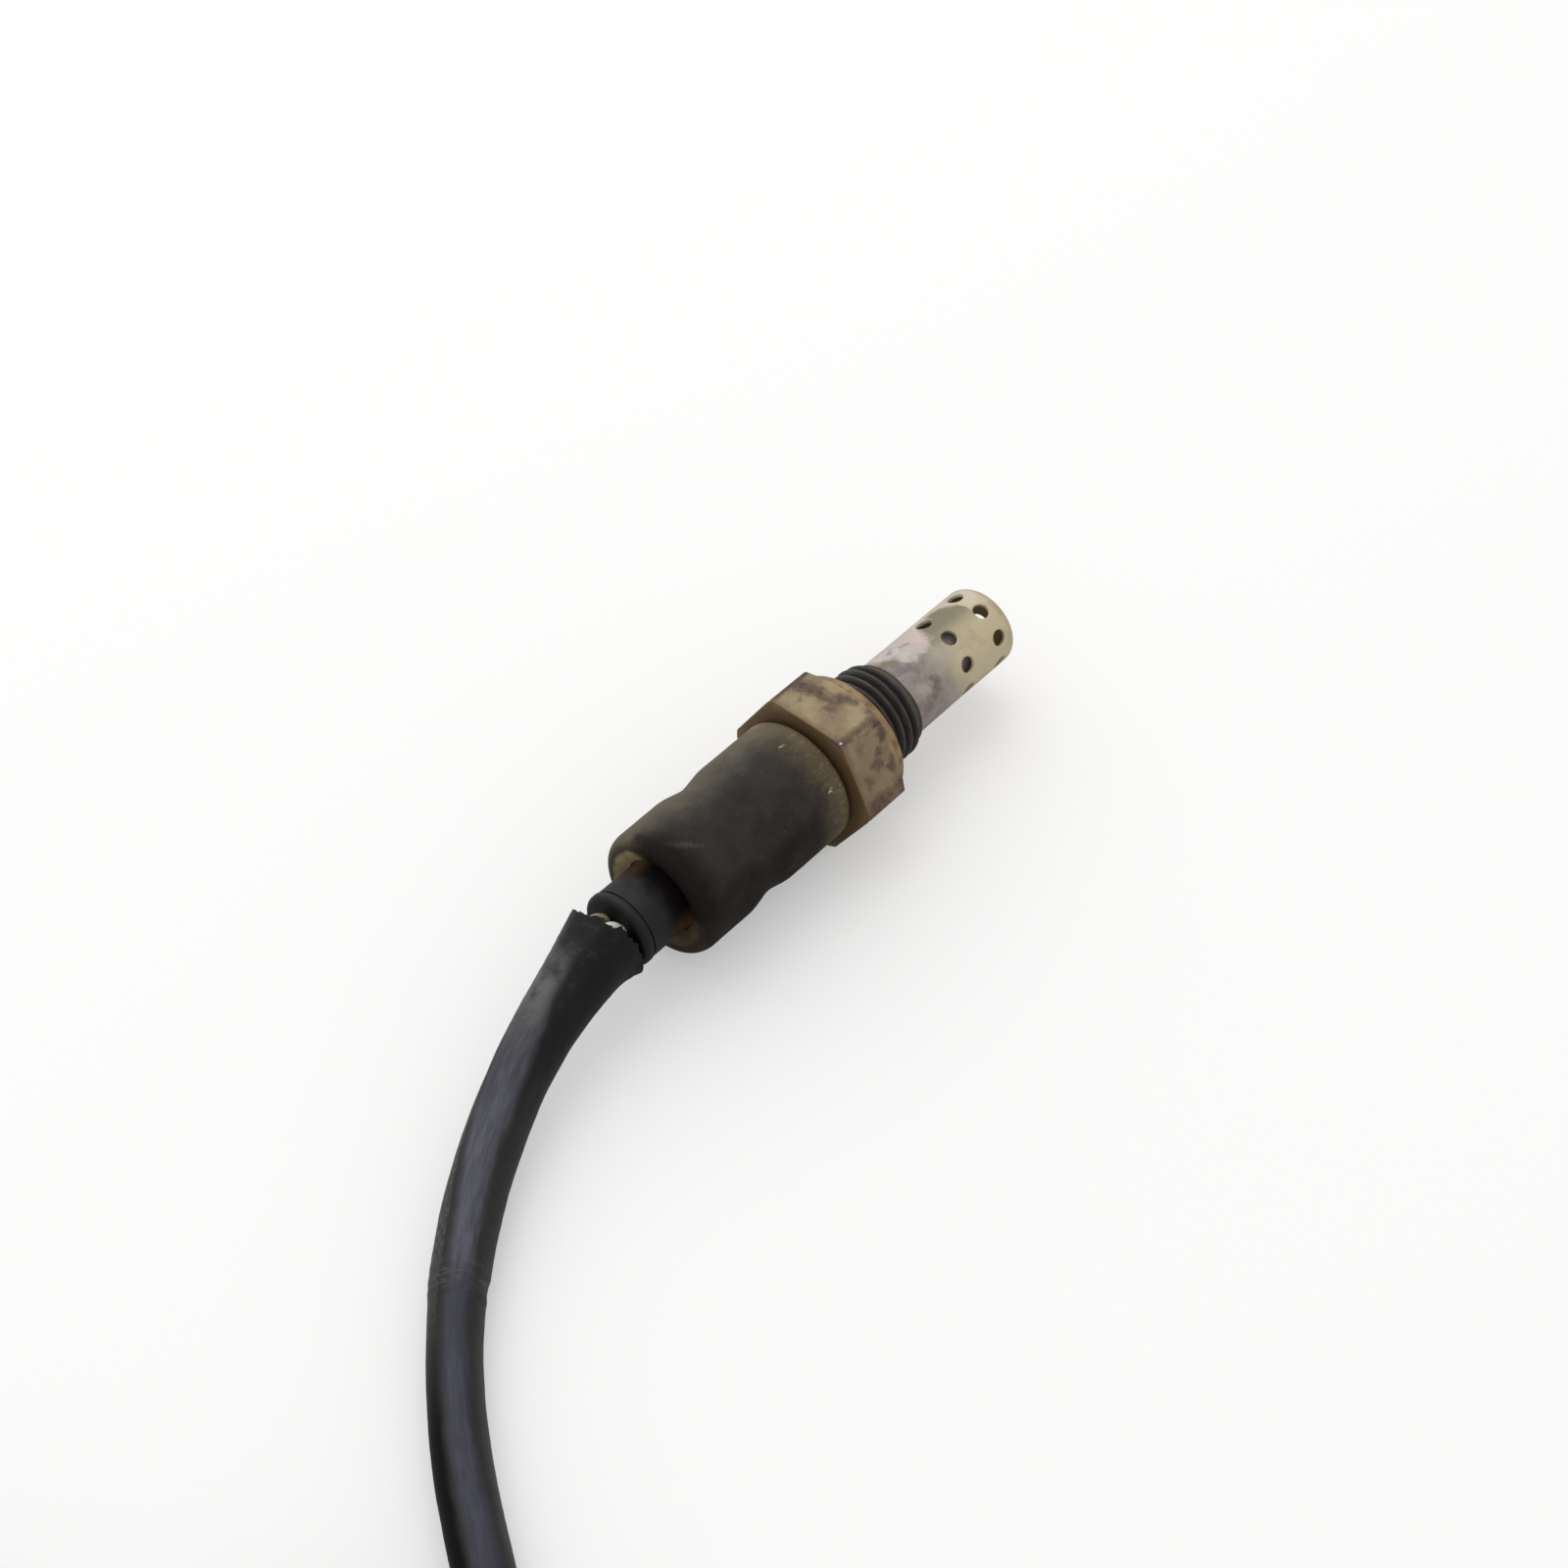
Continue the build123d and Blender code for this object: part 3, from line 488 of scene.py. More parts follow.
# ---------------------------------------------------------------- outer shield with punched holes
shield_wall = 0.4 * mm
shield_corner = 1.0 * mm
shield_flange_radius = 4.95 * mm
shield_flange_rear = shank_end - 1.0 * mm
tip_opening_radius = 1.4 * mm
hole_radius = 0.98 * mm
hole_burr = 0.07 * mm           # rounding of a hole's outer edge
hole_count = 8
hole_angle = -16.46
hole_stations = [tip_station - 8.93 * mm, tip_station - 3.07 * mm]
cell_half_length = 1.75 * mm
cell_half_angle = 180 / hole_count
cell_sides = 12                 # divisions along each side of the square cell round a hole
cell_rings = 5
cell_spread = 1.3               # crowds a cell's rings towards the hole
degree_arc = 0.083              # millimetres of the shield's wall to one degree
tip_wear = 0.3 * mm
tip_steps = 8                   # divisions of the tip's bend
shield_unevenness = 0.035 * mm
shield_grain = 0.006 * mm
shield_allowance = 0.02 * mm    # keeps the uneven wall inside the solid's

cell_steps = [(side, step) for side in range(4) for step in range(cell_sides)]
shield_vertices = []
shield_faces = []
shield_index = {}


def shield_vertex(station, angle, radius):
    """Number of the vertex at a place, shared by all the faces that meet there."""
    even = on_axis(station, angle, shield_radius)
    uneven = shield_unevenness * noise.noise(even * 160) + shield_grain * noise.noise(even * 900)
    point = on_axis(station, angle, radius + uneven - shield_allowance)
    key = tuple(round(part * 1e7) for part in point)
    if key not in shield_index:
        shield_index[key] = len(shield_vertices)
        shield_vertices.append(point)
    return shield_index[key]


def shield_band(before, after):
    """Plain band of faces between two stations and radii."""
    columns = hole_count * cell_sides
    for column in range(columns):
        first = hole_angle + cell_half_angle + 360 * column / columns
        second = hole_angle + cell_half_angle + 360 * ((column + 1) % columns) / columns
        corners = ((before, first), (before, second), (after, second), (after, first))
        shield_faces.append(
            tuple(shield_vertex(station, angle, radius) for (station, radius), angle in corners)
        )


def cell_line(side, step, radius, edge):
    """A place on a cell's square edge, with its place on the edge of the hole."""
    part = -1 + 2 * step / cell_sides
    across, high = ((part, -1), (1, part), (-part, 1), (-1, -part))[side]
    turn = math.atan2(high * cell_half_angle * degree_arc, across * cell_half_length / mm)
    hole = (edge * math.cos(turn), math.degrees(math.asin(edge * math.sin(turn) / radius)))
    return (across * cell_half_length, high * cell_half_angle), hole


def shield_cell(station, angle, radius, edge, outward):
    """Square cell of the shield's wall round one hole; returns the vertices of the hole's edge."""
    rings = []
    for ring in range(cell_rings + 1):
        part = (ring / cell_rings) ** cell_spread
        vertices = []
        for side, step in cell_steps:
            square, hole = cell_line(side, step, radius, edge)
            place = station + hole[0] + (square[0] - hole[0]) * part
            turn = angle + hole[1] + (square[1] - hole[1]) * part
            vertices.append(shield_vertex(place, turn, radius))
        rings.append(vertices)
    for low, high in zip(rings, rings[1:]):
        join_rings(low, high, outward)
    return rings[0]


def join_rings(low, high, outward):
    """Faces between two closed lines of vertices."""
    for column in range(len(low)):
        after = (column + 1) % len(low)
        face = (low[column], high[column], high[after], low[after])
        shield_faces.append(face if outward else tuple(reversed(face)))


def shield_wall_rows(start, end, radius):
    """Plain bands and holed cells along the shield's straight wall."""
    stops = [start]
    for station in hole_stations:
        stops += [station - cell_half_length, station + cell_half_length]
    stops.append(end)
    for low, high in zip(stops[::2], stops[1::2]):
        rows = spaced(low, high, 0.4 * mm)
        for before, after in zip(rows, rows[1:]):
            if radius > shield_radius - shield_wall / 2:
                shield_band((before, radius), (after, radius))
            else:
                shield_band((after, radius), (before, radius))


shield_inside = shield_radius - shield_wall
worn_tip = tip_station - tip_wear
straight_end = worn_tip - shield_corner
dome_centre = shield_radius - shield_corner


def tip_bend(corner):
    """Quarter circle from the straight wall to the tip."""
    return [
        (straight_end + corner * math.sin(turn), dome_centre + corner * math.cos(turn))
        for turn in quarter_turn(tip_steps)
    ]


shield_profile = [
    (shield_flange_rear, shield_inside),
    (shield_flange_rear, shield_flange_radius),
    (shield_flange_rear + shield_wall, shield_flange_radius),
    (shield_flange_rear + shield_wall, shield_radius),
]
dome_profile = [
    *tip_bend(shield_corner),
    (worn_tip, (dome_centre + tip_opening_radius) / 2),
    (worn_tip - 0.03 * mm, tip_opening_radius + 0.05 * mm),
    (worn_tip - 0.08 * mm, tip_opening_radius),
    (worn_tip - shield_wall, tip_opening_radius),
    *reversed(tip_bend(shield_corner - shield_wall)),
]
for profile in (shield_profile, dome_profile):
    for before, after in zip(profile, profile[1:]):
        shield_band(before, after)
shield_wall_rows(shield_flange_rear + shield_wall, straight_end, shield_radius)
shield_wall_rows(shield_flange_rear, straight_end, shield_inside)
for station in hole_stations:
    for number in range(hole_count):
        angle = hole_angle - 360 * number / hole_count
        outer_edge = shield_cell(station, angle, shield_radius, hole_radius + hole_burr, True)
        inner_edge = shield_cell(station, angle, shield_inside, hole_radius, False)
        rounded = []
        for side, step in cell_steps:
            hole = cell_line(side, step, shield_radius, hole_radius)[1]
            vertex = shield_vertex(station + hole[0], angle + hole[1], shield_radius - hole_burr)
            rounded.append(vertex)
        join_rings(rounded, outer_edge, True)
        join_rings(inner_edge, rounded, True)
worn_shield = mesh_object("worn_shield", shield_vertices, shield_faces, 50)
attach(worn_shield, "root")
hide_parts("outer_shield")

# ---------------------------------------------------------------- boot with a soft rear roll
boot_bore = 6.25 * mm
boot_radius = 7.56 * mm
boot_rear_radius = 7.6 * mm
boot_mouth_radius = 5.85 * mm
boot_seal_radius = 4.5 * mm     # where the turned-in lip meets the grommet
boot_lip_front = casing_end - 0.05 * mm
waist_radius = 7.08 * mm
waist_station = -12.8 * mm
waist_reach = 3.6 * mm
front_round = 0.8 * mm
roll_length = 1.9 * mm
roll_height = 1.3 * mm
roll_fullness = 0.85
lip_depth = 0.75 * mm           # from the rear end to the lip's inner edge
lip_edge_depth = 0.92 * mm
lip_root_depth = 1.3 * mm
lip_root_radius = 5.6 * mm
boot_columns = 160

boot_profile = [(boot_front, boot_bore)]
for turn in quarter_turn(8):
    station = boot_front - front_round * (1 - math.cos(turn))
    boot_profile.append((station, boot_radius - front_round * (1 - math.sin(turn))))
for station in spaced(boot_front - front_round, boot_end + roll_length, 0.3 * mm):
    away = abs(station - waist_station) / waist_reach
    full = boot_radius if station > waist_station else boot_rear_radius
    waist = smooth_step(1 - away, 0.0, 1.0)
    boot_profile.append((station, full + (waist_radius - full) * waist))
for turn in quarter_turn(16)[1:]:
    station = boot_end + roll_length * (1 - math.sin(turn) ** roll_fullness)
    radius = boot_rear_radius - roll_height * (1 - math.cos(turn) ** roll_fullness)
    boot_profile.append((station, radius))
lip_start = boot_rear_radius - roll_height
for step in range(1, 11):
    part = step / 10
    radius = lip_start + (boot_seal_radius - lip_start) * part
    boot_profile.append((boot_end + lip_depth * part**1.6, radius))
boot_profile.append((boot_end + lip_edge_depth, boot_seal_radius + 0.05 * mm))
boot_profile.append((boot_end + lip_root_depth, lip_root_radius))
boot_profile.append((boot_lip_front, boot_mouth_radius))
boot_profile.append((boot_lip_front, boot_bore))


def boot_point(row, angle):
    """Point of a row of the boot, whose outside is uneven and whose bore is round."""
    station, radius = row
    uneven = 0.0
    if radius > boot_bore + 0.05 * mm or station < boot_end + 0.8 * mm:
        place = on_axis(station, angle, radius)
        uneven = 0.05 * mm * (noise.noise(place * 170) - 0.4)
        uneven += 0.015 * mm * noise.noise(place * 700)
    return on_axis(station, angle, radius + uneven)


worn_boot = turned_mesh("worn_boot", boot_profile, boot_columns, boot_point, 50)
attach(worn_boot, "root")
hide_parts("boot")

# ---------------------------------------------------------------- lead wires, pulled outwards in the tear
wire_radius = 0.65 * mm
wire_stand = 1.5 * mm
wire_start = -13.8 * mm
wire_sides = 20
tear_reach = 4.5 * mm           # from the grommet's tail into the sheath
# place of each wire at the tear: angle from up towards +Y and distance from the axis
wire_bulges = [(43, 2.75), (-9, 2.85), (-135, 1.6), (135, 1.6)]
mouth_place = Vector(lead_route[0])
mouth_heading = (Vector(lead_route[1]) - mouth_place).normalized()


def tube_object(name, line, radius, sides):
    """Closed round tube along a line of points."""
    vertices = []
    side = Vector((0, 1, 0))
    for index, point in enumerate(line):
        tangent = (line[min(index + 1, len(line) - 1)] - line[max(index - 1, 0)]).normalized()
        up = side.cross(tangent).normalized()
        side = tangent.cross(up).normalized()
        for column in range(sides):
            turn = 2 * math.pi * column / sides
            vertices.append(point + radius * (side * math.cos(turn) + up * math.sin(turn)))
    faces = grid_faces(len(line), sides)
    faces.append(tuple(reversed(range(sides))))
    faces.append(tuple(len(vertices) - sides + column for column in range(sides)))
    return mesh_object(name, vertices, faces, 50)


def rounded_line(corners, steps=10):
    """Smooth line that touches the middle of each run between the corners."""
    line = [corners[0]]
    for before, corner, after in zip(corners, corners[1:], corners[2:]):
        start = (before + corner) / 2
        end = (corner + after) / 2
        for step in range(steps + 1):
            part = step / steps
            line.append(start.lerp(corner, part).lerp(corner.lerp(end, part), part))
    line.append(corners[-1])
    return line


lead_wires = []
for index, (bulge_angle, bulge_radius) in enumerate(wire_bulges):
    stand_angle = 45 - 90 * index
    corners = [
        on_axis(wire_start, stand_angle, wire_stand),
        on_axis(tail_end + 3 * mm, stand_angle, wire_stand),
        on_axis(tail_end - 0.1 * mm, stand_angle, wire_stand + 0.2 * mm),
        # pulled out of the tear
        on_axis(tail_end - 1.2 * mm, bulge_angle, bulge_radius * mm),
        on_axis(tail_end - 3.2 * mm, bulge_angle, bulge_radius * mm * 0.8),
        on_axis(tail_end - tear_reach, stand_angle, wire_stand) + mouth_heading * 3 * mm,
    ]
    wire = tube_object(f"bent_wire_{index + 1}", rounded_line(corners), wire_radius, wire_sides)
    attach(wire, "root")
    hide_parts(f"lead_wire_{index + 1}")
    lead_wires.append(wire)

# ---------------------------------------------------------------- finishes
def tone(red, green, blue):
    """Linear colour for screen values from 0 to 255."""
    channels = []
    for value in (red, green, blue):
        part = value / 255
        channels.append(part / 12.92 if part <= 0.04045 else ((part + 0.055) / 1.055) ** 2.4)
    return (*channels, 1.0)


class Finish:
    """A Principled material put together from procedural layers, each laid over those before it.

    Tones are given as screen values. Lengths that sockets carry are in metres, apart from the station and
    the radius, which are in millimetres.
    """

    def __init__(self, name, roughness, metallic=0.0, coordinates="Object", specular=0.5):
        self.material = bpy.data.materials.new(name)
        self.material.use_nodes = True
        self.tree = self.material.node_tree
        self.shader = self.tree.nodes["Principled BSDF"]
        self.shader.inputs["Roughness"].default_value = roughness
        self.shader.inputs["Metallic"].default_value = metallic
        self.shader.inputs["Specular IOR Level"].default_value = specular
        self.place = self.node("ShaderNodeTexCoord").outputs[coordinates]
        self.bent_places = {}
        self.tint = None

    def node(self, kind, inputs=None, **settings):
        """Add a node; its inputs take sockets or plain values."""
        made = self.tree.nodes.new(kind)
        for key, value in settings.items():
            setattr(made, key, value)
        for key, value in (inputs or {}).items():
            if isinstance(value, bpy.types.NodeSocket):
                self.tree.links.new(value, made.inputs[key])
            else:
                made.inputs[key].default_value = value
        return made

    def math(self, operation, first, second=0.0, third=0.0):
        inputs = {0: first, 1: second, 2: third}
        return self.node("ShaderNodeMath", inputs, operation=operation).outputs[0]

    def vector(self, operation, first, second, output="Vector"):
        """Vector maths; to scale, the second input is a plain factor."""
        inputs = {0: first, ("Scale" if operation == "SCALE" else 1): second}
        return self.node("ShaderNodeVectorMath", inputs, operation=operation).outputs[output]

    def product(self, first, *others):
        for other in others:
            first = self.math("MULTIPLY", first, other)
        return first

    def noise(self, scale, detail=6.0, roughness=0.55, stretch=None, distortion=0.0):
        """Cloudy value about 0.5; the scale is in features per unit of the coordinates."""
        place = self.place
        if stretch:
            place = self.node("ShaderNodeMapping", {"Vector": place, "Scale": stretch}).outputs[0]
        inputs = {
            "Vector": place,
            "Scale": scale,
            "Detail": detail,
            "Roughness": roughness,
            "Distortion": distortion,
        }
        return self.node("ShaderNodeTexNoise", inputs).outputs["Fac"]

    def step(self, value, low, high):
        """0 at low and 1 at high, with a smooth rise or fall."""
        inputs = {"Value": value, "From Min": low, "From Max": high}
        return self.node("ShaderNodeMapRange", inputs, interpolation_type="SMOOTHSTEP").outputs[0]

    def cloud(self, low, high, *noise_settings):
        """1 in cloudy patches and 0 between them; low and high set how much they cover."""
        return self.step(self.noise(*noise_settings), low, high)

    def rough(self, value, amount, *noise_settings):
        """A value with noise added, so that the steps made from it run unevenly."""
        return self.math("MULTIPLY_ADD", self.noise(*noise_settings), amount, value)

    def without(self, factor):
        return self.math("SUBTRACT", 1.0, factor)

    def mix(self, factor, first, second):
        """Blend from the first tone or colour socket to the second."""
        made = self.node("ShaderNodeMix", data_type="RGBA")
        for index, value in ((0, factor), (6, first), (7, second)):
            if isinstance(value, bpy.types.NodeSocket):
                self.tree.links.new(value, made.inputs[index])
            else:
                made.inputs[index].default_value = tone(*value) if len(value) == 3 else value
        return made.outputs[2]

    def start(self, factor, first, second):
        """Ground of two tones, which the layers go on."""
        self.tint = self.mix(factor, first, second)

    def lay(self, colour, strength, *factors):
        """Lay a tone over the layers so far where the product of the factors is 1."""
        self.tint = self.mix(self.product(*factors, strength), self.tint, colour)

    def axis(self, index):
        return self.node("ShaderNodeSeparateXYZ", {0: self.place}).outputs[index]

    def station(self):
        """Distance along the sensor's axis from the hexagon's rear face."""
        return self.math("MULTIPLY_ADD", self.axis(0), 1 / mm, -hex_rear / mm)

    def radius(self):
        """Distance from the sensor's axis."""
        side = self.axis(1)
        height = self.math("SUBTRACT", self.axis(2), axis_height)
        square = self.math("MULTIPLY_ADD", height, height, self.math("MULTIPLY", side, side))
        return self.math("MULTIPLY", self.math("SQRT", square), 1 / mm)

    def facing(self):
        """1 on the side of the axis that is turned up and towards -Y, -1 on the other side."""
        height = self.math("SUBTRACT", self.axis(2), axis_height)
        across = self.math("MULTIPLY", self.axis(1), -0.5 / mm)
        towards = self.math("MULTIPLY_ADD", height, 0.87 / mm, across)
        return self.math("DIVIDE", towards, self.math("MAXIMUM", self.radius(), 0.1))

    def bent(self, amount):
        """Object place pushed about, so that outlines drawn with it run unevenly."""
        if amount not in self.bent_places:
            place = self.place
            for scale, part in ((520, 3.2), (1900, 1.5)):
                inputs = {"Vector": self.place, "Scale": scale, "Detail": 4.0, "Roughness": 0.6}
                push = self.node("ShaderNodeTexNoise", inputs).outputs["Color"]
                push = self.vector("SUBTRACT", push, (0.5, 0.5, 0.5))
                place = self.vector("ADD", place, self.vector("SCALE", push, part * amount))
            self.bent_places[amount] = place
        return self.bent_places[amount]

    def spot(self, centre, size, stretch=(1, 1, 1), soft=0.35, bend=0.8 * mm):
        """1 inside a patch round a point and 0 outside."""
        away = self.vector("SUBTRACT", self.bent(bend), centre)
        scaled = self.vector("MULTIPLY", away, tuple(1 / (size * part) for part in stretch))
        distance = self.node("ShaderNodeVectorMath", {0: scaled}, operation="LENGTH").outputs["Value"]
        return self.step(distance, 1 + soft, 1 - soft)

    def patches(self, marks, soft, bend=0.8 * mm):
        """The strongest of many spots; each mark is a place and a size in mm, and a strength."""
        total = None
        for place, size, strength in marks:
            patch = self.spot(Vector(place) * mm, size * mm, (1, 1, 1), soft, bend)
            patch = self.math("MULTIPLY", patch, strength)
            total = patch if total is None else self.math("MAXIMUM", total, patch)
        return total

    def marks(self, radius, marks, soft, bend):
        """Patches at a radius; each mark is a station in mm, an angle, a size in mm and a strength."""
        places = []
        for place, angle, size, strength in marks:
            places.append((on_axis(place * mm, angle, radius) / mm, size, strength))
        return self.patches(places, soft, bend)

    def drive(self, name, value, low, high):
        """Drive a socket of the shader between two values."""
        inputs = {"Value": value, "To Min": low, "To Max": high}
        result = self.node("ShaderNodeMapRange", inputs).outputs[0]
        self.tree.links.new(result, self.shader.inputs[name])

    def bump(self, height, strength, distance):
        """Fine relief, added to the relief so far."""
        inputs = {"Height": height, "Strength": strength, "Distance": distance}
        before = self.shader.inputs["Normal"].links
        if before:
            inputs["Normal"] = before[0].from_socket
        made = self.node("ShaderNodeBump", inputs)
        self.tree.links.new(made.outputs[0], self.shader.inputs["Normal"])

    def done(self):
        """Give the shader the colour of the layers."""
        self.tree.links.new(self.tint, self.shader.inputs["Base Color"])
        return self


def cloudy(name, base, other, roughness, metallic=0.0):
    """Finish with broad patches of a second tone, fine grain and a slight relief."""
    finish = Finish(name, roughness, metallic)
    patches = finish.cloud(0.38, 0.66, 600)
    grain = finish.cloud(0.35, 0.75, 6000, 3)
    finish.start(patches, base, other)
    darker = tuple(part * 0.8 for part in tone(*base)[:3]) + (1.0,)
    finish.lay(darker, 0.4, grain)
    finish.drive("Roughness", patches, roughness - 0.08, roughness + 0.1)
    finish.bump(finish.noise(6000, 4), 0.15, 0.02 * mm)
    return finish.done()


# worn gold on the upper flat, and purple-brown stains where the coating has burnt
gold_marks = [
    ((6.2, 1.4, 17), 0.8, 1), ((5.6, -3.4, 17), 1.1, 1),
    ((3.9, -4.2, 17), 1.3, 1), ((1.6, 1.6, 17), 2.2, 0.7),
]
burnt_marks = [
    ((4.2, 3.9, 17.0), 1.1, 1), ((4.6, 2.6, 17.0), 0.95, 1), ((4.9, 1.4, 17.0), 0.95, 1),
    ((5.0, 0.4, 17.0), 0.7, 0.9), ((3.7, -0.9, 17.0), 0.7, 0.8), ((4.7, -0.3, 17.0), 0.6, 0.7),
    ((5.4, -0.7, 17.0), 0.95, 1), ((6.1, -1.2, 17.0), 0.8, 1), ((6.3, -2.2, 17.0), 0.55, 0.9),
    ((6.3, -3.9, 17.0), 0.5, 0.9), ((0.9, -5.0, 16.95), 0.5, 0.8), ((1.9, -5.1, 16.8), 0.45, 0.7),
    ((3.0, -5.1, 16.8), 0.45, 0.6), ((4.2, -5.1, 16.8), 0.4, 0.6), ((5.4, -5.1, 16.8), 0.45, 0.7),
    ((6.2, -5.4, 16.1), 0.75, 1), ((6.2, -6.1, 14.9), 0.7, 1), ((2.6, -6.0, 15.2), 0.6, 0.45),
    ((4.9, -6.9, 13.7), 0.6, 0.9), ((3.9, -7.4, 12.7), 0.6, 0.9), ((4.6, -7.5, 12.4), 0.4, 0.8),
    ((5.7, -8.1, 11.6), 0.65, 1), ((6.4, -7.8, 12.1), 0.55, 1), ((2.2, -8.0, 11.8), 0.6, 0.7),
    ((1.5, -9.3, 9.3), 1.0, 1), ((2.8, -9.4, 9.2), 1.1, 1), ((3.9, -9.2, 9.5), 0.8, 0.9),
    ((6.2, -9.3, 9.4), 1.25, 1), ((2.1, 6.2, 14.9), 1.1, 0.9), ((4.6, 7.0, 13.4), 1.3, 1),
    ((5.8, 8.4, 11.0), 0.9, 0.9), ((2.9, 9.0, 9.8), 0.8, 0.8), ((3.2, 9.4, 7.2), 1.2, 0.9),
    ((5.6, 8.2, 5.2), 1.0, 0.9), ((1.8, 6.6, 2.6), 1.0, 0.8), ((4.4, -7.6, 4.4), 1.3, 0.9),
    ((2.0, -6.4, 2.4), 1.1, 0.9), ((4.8, 0.6, 0.0), 1.4, 0.9),
]


def hexagon_layers(finish, station, radius, side):
    """Tan coating with burnt stains, a golden chamfer, a grimy rear face with painted shade towards the
    boot, painted shade on the low flats towards -Y and a painted highlight on one corner.
    """
    lay, step, cloud = finish.lay, finish.step, finish.cloud
    finish.start(cloud(0.35, 0.68, 330, 6, 0.6), (158, 141, 112), (132, 115, 86))
    lay((106, 88, 62), 0.55, cloud(0.5, 0.72, 1100, 7, 0.65, (0.6, 1, 1), 0.6))
    lay((172, 156, 118), 0.5, finish.patches(gold_marks, 0.7))
    # painted shade on the low flats towards -Y, and a little painted light on the rest
    low_flats_shade = step(side, -4.9 * mm, -6.5 * mm)
    lay((118, 100, 70), 0.55, low_flats_shade)
    lay((140, 116, 80), 0.15, finish.without(low_flats_shade))
    spread = finish.product(cloud(0.58, 0.7, 600, 7, 0.62, None, 0.8), 0.5)
    stain = finish.math("MAXIMUM", finish.patches(burnt_marks, 0.75), spread)
    uneven = cloud(0.3, 0.52, 1700, 6, 0.65)
    stain = finish.product(stain, finish.math("MULTIPLY_ADD", uneven, 0.35, 0.65))
    lay((78, 57, 45), 0.98, stain)
    lay((114, 96, 90), 0.35, cloud(0.54, 0.72, 1500, 5), stain)
    top_edge = step(finish.rough(side, 0.9 * mm, 800, 5), 4.6 * mm, 5.1 * mm)
    lay((68, 54, 52), 0.9, top_edge, step(side, 6.3 * mm, 5.1 * mm))
    front = step(station, hex_height / mm - 1.1, hex_height / mm - 0.5)
    lay((168, 143, 103), 0.7, step(radius, 8.9, 8.3), front)
    from_rear = finish.rough(station, 1.2, 900, 6, 0.6)
    lay((104, 84, 54), 0.6, step(from_rear, 1.8, 0.7))
    lay((122, 97, 62), 0.75, step(from_rear, 1.0, 0.5))
    # painted shade on the rear face towards the boot
    lay((86, 65, 40), 0.75, step(station, 0.3, 0.05), step(radius, 9.3, 7.9))
    ridges = step(finish.rough(radius, 0.5, 1400, 5), 9.7, 9.95)
    lay((84, 62, 46), 0.55, ridges, step(side, 3.0 * mm, -2.0 * mm))
    # stained corner, with a painted highlight on its worn point
    corner = finish.spot(Vector((0.5, -4.9, 17.0)) * mm, 0.95 * mm, (1, 1, 1), 0.9, 0.5 * mm)
    lay((98, 80, 74), 0.7, corner)
    corner_glint = finish.spot(Vector((0.45, -4.93, 17.0)) * mm, 0.26 * mm, (1.3, 0.6, 0.6), 0.3, 0.15 * mm)
    lay((236, 230, 226), 0.9, corner_glint)


def thread_layers(finish, station, radius, side):
    """Near black, brown in the grooves, greenish and lighter with painted light along the top, and
    reddish by the seat washer.
    """
    lay, step, cloud = finish.lay, finish.step, finish.cloud
    finish.start(cloud(0.35, 0.65, 700, 6), (50, 46, 46), (66, 62, 60))
    # greenish tone with painted light on the +Y side
    lay((80, 82, 72), 0.5, step(side, -1.0 * mm, 3.5 * mm))
    lay((66, 36, 26), 0.65, step(side, -1.0 * mm, -4.0 * mm), step(station, 10.5, 8.5))
    lay((34, 25, 23), 0.9, step(radius, 5.8, 5.4))
    run_out = step(finish.rough(station, 0.6, 700, 4), shank_end / mm - 0.9, shank_end / mm)
    lay((98, 90, 76), 0.55, run_out)


def shell_finish():
    """Oxidised steel: the hexagon's coating and the sooty thread, parted at the relief between them."""
    finish = Finish("oxidised_shell", 0.6, 0.2)
    station = finish.station()
    radius = finish.radius()
    side = finish.axis(1)
    hexagon_layers(finish, station, radius, side)
    hexagon = finish.tint
    thread_layers(finish, station, radius, side)
    on_thread = finish.step(station, hex_height / mm + 0.7, hex_height / mm + 1.2)
    finish.tint = finish.mix(on_thread, hexagon, finish.tint)
    finish.drive("Roughness", finish.noise(1200, 5), 0.45, 0.75)
    finish.bump(finish.noise(1600, 8, 0.65), 0.35, 0.08 * mm)
    return finish.done()


# pale deposits along the shield's upper side
pale_marks = [
    (17.0, 42, 2.4, 1), (20.0, 48, 2.6, 1), (23.5, 52, 2.0, 0.9), (18.2, 21, 1.1, 1),
    (17.9, 2, 0.9, 1), (18.5, -8, 0.7, 0.9), (19.4, 8, 1.2, 0.9), (21.0, -22, 0.7, 0.25),
    (30.4, 10, 1.1, 0.9), (31.2, 26, 1.6, 0.9), (29.5, 42, 2.0, 0.8),
]
dull_marks = [
    (18.2, -42, 0.55, 0.9), (18.6, -50, 0.6, 1), (18.3, -59, 0.6, 0.9),
    (17.5, -67, 0.7, 0.8), (16.2, -76, 0.8, 0.8), (15.0, -60, 0.5, 0.6),
]
light_marks = [(16.7, -46, 0.8, 1), (20.4, -40, 1.2, 0.8), (22.3, -30, 1.0, 0.7)]
rosy_marks = [(20.9, 26, 1.5, 1), (21.2, 11, 1.3, 1), (20.2, 0, 0.8, 0.8)]
lilac_marks = [(16.0, -9, 0.7, 1), (17.0, -11, 0.6, 0.9), (19.5, 17, 0.35, 0.8), (17.8, 29, 0.5, 0.7)]
umber_marks = [(15.1, 14, 0.9, 1), (15.9, 5, 0.7, 0.9), (14.3, -3, 0.8, 0.8), (15.0, 30, 0.8, 0.6)]


